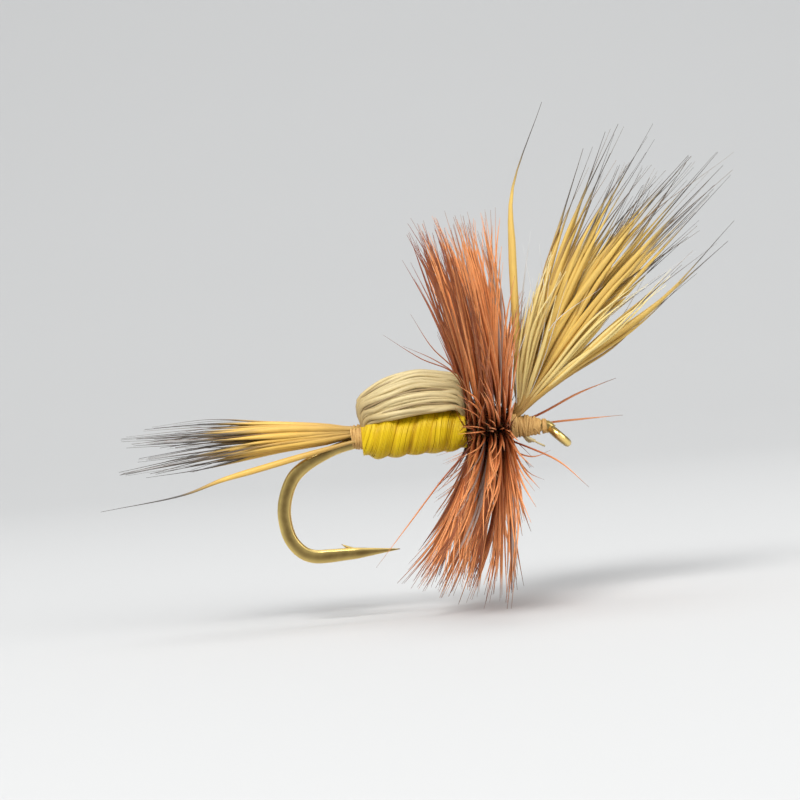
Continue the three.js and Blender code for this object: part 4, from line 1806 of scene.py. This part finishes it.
        # Each has its root (x, share of the quill ring to the left, height over the shank), three more
        # points, a thickness factor and a tone.
        rows = (
            ((front - 0.1, 1.0, 0.1), (11.2, 1.1, 6.15), (13.2, 1.6, 7.0), (15.26, 2.0, 7.62), 1.4, 0.62),
            ((front - 0.1, 0.95, -0.15), (11.4, 1.2, 5.65), (13.4, 1.7, 5.7), (15.46, 2.1, 5.71), 1.3, 0.55),
            ((front - 0.2, -0.8, -0.5), (10.4, -1.0, 4.55), (11.8, -1.4, 3.74), (13.11, -1.7, 2.38), 1.1, 0.5),
            ((7.7, -0.6, 0.6), (7.0, -1.6, 8.5), (5.4, -2.0, 9.4), (3.65, -2.3, 10.72), 0.7, 0.88),
            ((7.8, -0.8, -0.5), (6.2, -1.1, 3.6), (4.2, -1.3, 1.4), (2.33, -1.5, -0.68), 0.9, 0.5),
            ((7.9, -0.5, 0.65), (7.1, -1.5, 8.6), (6.0, -1.9, 9.9), (5.1, -2.2, 11.6), 0.8, 0.8),
            ((9.3, -0.6, -0.6), (9.9, -0.9, 4.3), (10.6, -1.2, 4.1), (11.4, -1.5, 4.35), 0.9, 0.6),
            ((9.2, -0.5, -0.6), (9.8, -0.8, 4.0), (10.3, -1.0, 3.3), (11.0, -1.2, 2.9), 0.8, 0.7),
            ((7.9, 0.5, 0.65), (7.2, 1.5, 8.4), (6.2, 2.0, 9.3), (4.6, 2.6, 10.2), 0.8, 0.85),
        )
        paths, factors, tones = [], [], []
        for (x, aside, lift), *others, factor, tone in rows:
            paths.append([(x, aside * self.quill_ring, self.stations.shank + lift), *others])
            factors.append(factor)
            tones.append(tone)
        template = StrandTemplate(5, 18)
        radii = np.array(factors)[:, None] * self._taper(template.share, 0.066, 0.055, 0.55, 0.82)[None]
        strays = template.lay("stray_barbs", template.smooth(paths), radii, SIDEWAYS, 0.7, np.array(tones))
        Finish.BARBS.dress(strays)
        return strays


# ---- Head ----


@dataclass(frozen=True)
class TrimmedButts:
    """Hair ends cut short below the head."""

    count: int = 11
    long_radius: float = 0.045
    short_radius: float = 0.062
    seed: int = 71

    def build(self) -> Piece:
        """Cuts the hair ends.

        Returns:
            The finished hair ends.
        """
        rng = np.random.default_rng(self.seed)
        span = Span.of("trimmed_butts")
        template = StrandTemplate(8, 8)
        paths, radii = [], []
        for index in range(self.count):
            end_x, end_z, radius = span.high[0] - 0.04, span.low[2] + 0.08, self.long_radius
            if index % 4:
                end_x = blend(span.low[0] + 0.3, span.low[0] + 0.75, rng.uniform())
                end_z = blend(span.low[2] + 0.3, span.high[2] - 0.2, rng.uniform())
                radius = self.short_radius
            side = blend(-0.38, 0.18, rng.uniform())
            start = np.array([span.low[0] + 0.12, -0.1 + side * 0.3, span.high[2] + 0.14])
            end = np.array([end_x, side, end_z])
            middle = (start + end) / 2 + np.array([0.02, side * 0.1, -0.05])
            paths.append((start, middle, end))
            radii.append(np.full(len(template.share), radius) * rng.uniform(0.85, 1.15))
        tones = rng.uniform(0, 0.6, self.count)
        stubs = template.lay("trimmed_hair_ends", template.smooth(paths), np.array(radii), tones=tones)
        Finish.HUMP_HAIR.dress(stubs)
        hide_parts("trimmed_butts")
        return stubs


# ---- Stage ----


@dataclass(frozen=True)
class Studio:
    """A pale seamless backdrop, soft lamps and the camera square to the fly's right side."""

    aim: Point = (4.216, 0.0, 7.461)
    roll: float = math.radians(5)
    field_width: float = 40.0
    lens: float = 100.0
    sensor: float = 36.0
    floor_height: float = -3.35
    # The rest is in metres and watts: each lamp's name, place, size and power.
    floor_size: float = 6.0
    floor_y: float = -2.8
    sweep_steps: int = 12
    sweep_step: float = 0.07
    wall_height: float = 0.6
    pale: Colour = (0.55, 0.55, 0.545)
    sky: Colour = (0.93, 0.96, 1.0)
    sky_strength: float = 0.5
    lamps: tuple[tuple[str, Point, float, float], ...] = (
        ("key_lamp", (-0.16, -0.5, 0.5), 0.28, 5.3),
        ("fill_lamp", (0.5, -0.42, 0.3), 0.45, 2.3),
        ("top_lamp", (0.06, 0.14, 0.7), 0.4, 1.5),
    )

    def build(self) -> None:
        """Sets the stage."""
        self._camera()
        self._backdrop()
        self._lamps()

    def _camera(self) -> None:
        """Adds the camera, rolled because the shank climbs towards the eye."""
        distance = self.field_width * self.lens / self.sensor
        deselect_all()
        bpy.ops.object.camera_add(location=Vector((self.aim[0], self.aim[1] - distance, self.aim[2])) * METRES)
        camera = bpy.context.object
        right = Vector((math.cos(self.roll), 0.0, -math.sin(self.roll)))
        up = Vector((math.sin(self.roll), 0.0, math.cos(self.roll)))
        camera.rotation_euler = Matrix((right, up, Vector((0.0, -1.0, 0.0)))).transposed().to_euler()
        camera.data.lens = self.lens
        camera.data.sensor_width = self.sensor
        camera.data.clip_start = 0.005
        camera.data.clip_end = 5.0
        bpy.context.scene.camera = camera

    def _backdrop(self) -> None:
        """Adds the sheet: a floor that sweeps up into a wall."""
        deselect_all()
        place = (0.0, self.floor_y, self.floor_height * METRES)
        bpy.ops.mesh.primitive_plane_add(size=self.floor_size, location=place)
        sheet = bpy.context.object
        sheet.name = "backdrop"
        bpy.ops.object.mode_set(mode="EDIT")
        bpy.ops.mesh.select_all(action="DESELECT")
        bpy.ops.object.mode_set(mode="OBJECT")
        for edge in sheet.data.edges:
            edge.select = all(sheet.data.vertices[i].co.y > 0 for i in edge.vertices)
        bpy.ops.object.mode_set(mode="EDIT")
        bpy.ops.mesh.select_mode(type="EDGE")
        angles = [math.radians(90 * (step + 0.5) / self.sweep_steps) for step in range(self.sweep_steps)]
        step = self.sweep_step
        moves = [(0.0, step * math.cos(angle), step * math.sin(angle)) for angle in angles]
        for move in [*moves, (0.0, 0.0, self.wall_height)]:
            bpy.ops.mesh.extrude_region_move(TRANSFORM_OT_translate={"value": move})
        bpy.ops.object.mode_set(mode="OBJECT")
        bpy.ops.object.shade_smooth()
        bpy.ops.object.transform_apply(location=True, rotation=True, scale=True)
        sheet.data.materials.append(StageFinish("pale_backdrop", self.pale).material())
        sheet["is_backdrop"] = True

    def _lamps(self) -> None:
        """Adds a large key from the upper left, a fill from the right, one above and a soft sky."""
        centre = Vector(self.aim) * METRES
        for name, place, size, power in self.lamps:
            deselect_all()
            bpy.ops.object.light_add(type="AREA", location=place)
            lamp = bpy.context.object
            lamp.name = name
            lamp.data.size = size
            lamp.data.energy = power
            lamp.rotation_euler = (centre - Vector(place)).to_track_quat("-Z", "Y").to_euler()
        world = bpy.data.worlds.new("studio_sky")
        world.use_nodes = True
        sky = world.node_tree.nodes["Background"]
        sky.inputs["Color"].default_value = (*self.sky, 1.0)
        sky.inputs["Strength"].default_value = self.sky_strength
        bpy.context.scene.world = world
        bpy.context.scene.view_settings.view_transform = "Standard"


# ---- Fly ----


HIDDEN_NODES = {
    "thread_base": Finish.THREAD,
    "underbody_hair": Finish.TAIL_HAIR,
    "wing_butts": Finish.WING_HAIR,
    "rear_hackle_stem": Finish.QUILL,
    "front_hackle_stem": Finish.QUILL,
}


def thread_bands() -> list[ThreadBand]:
    """Lists the fly's thread bands, from the tail to the eye.

    Returns:
        The bands, not yet wound.
    """
    tail, hump, wing, whip = (
        Span.of(node).half[2] for node in ("tail_tie", "hump_tie", "wing_tie", "whip_finish")
    )
    return [
        ThreadBand(
            "tail_tie", "rear_thread_tie", 7, tail * 0.9, tail * 1.04, 1, lumps=0.035, cross=0.07,
            front_reach=0.1,
        ),
        ThreadBand("hump_tie", "hump_thread_tie", 3, hump, hump, 2),
        ThreadBand("wing_tie", "wing_thread_tie", 4, wing, wing, 3),
        ThreadBand(
            "head_wraps", "thread_head", 15, 0.58, 0.36, 4, rear_lift=0.11, swell=0.05, lumps=0.04, cross=0.13,
            rear_reach=0.44,
        ),
        ThreadBand("whip_finish", "whip_finish_turns", 4, whip, whip * 0.92, 5, thread_radius=0.04),
    ]


def dress_fly(stations: Stations) -> list[Piece]:
    """Builds every piece of the fly in tying order.

    Args:
        stations: Where each material is tied.

    Returns:
        The pieces.
    """
    pieces = [ForgedHook(stations).build(), *HairTail(stations).build()]
    pieces += [FlossBody(stations).build(), HairHump(stations).build()]
    pieces += HairWings(stations).build()
    pieces += HackleCollar(stations).build()
    pieces += [band.build() for band in thread_bands()]
    pieces.append(TrimmedButts().build())
    for node, finish in HIDDEN_NODES.items():
        finish.dress_node(node)
    return pieces


def write_sizes() -> None:
    """Gathers the frame's box and the dressed fly's box, but doesn't keep or write them."""
    boxes = {"cad": CAD_BOX, "visual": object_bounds()}
    {name: [list(corner) for corner in box] for name, box in boxes.items()}


def main() -> None:
    """Builds the scene and reports each piece."""
    logging.basicConfig(level=logging.INFO, format="%(name)s: %(message)s")
    for piece in dress_fly(Stations.read()):
        LOG.info("%s: %d faces", piece.name, len(piece.data.polygons))
    Studio().build()
    write_sizes()


if __name__ == "__main__":
    main()
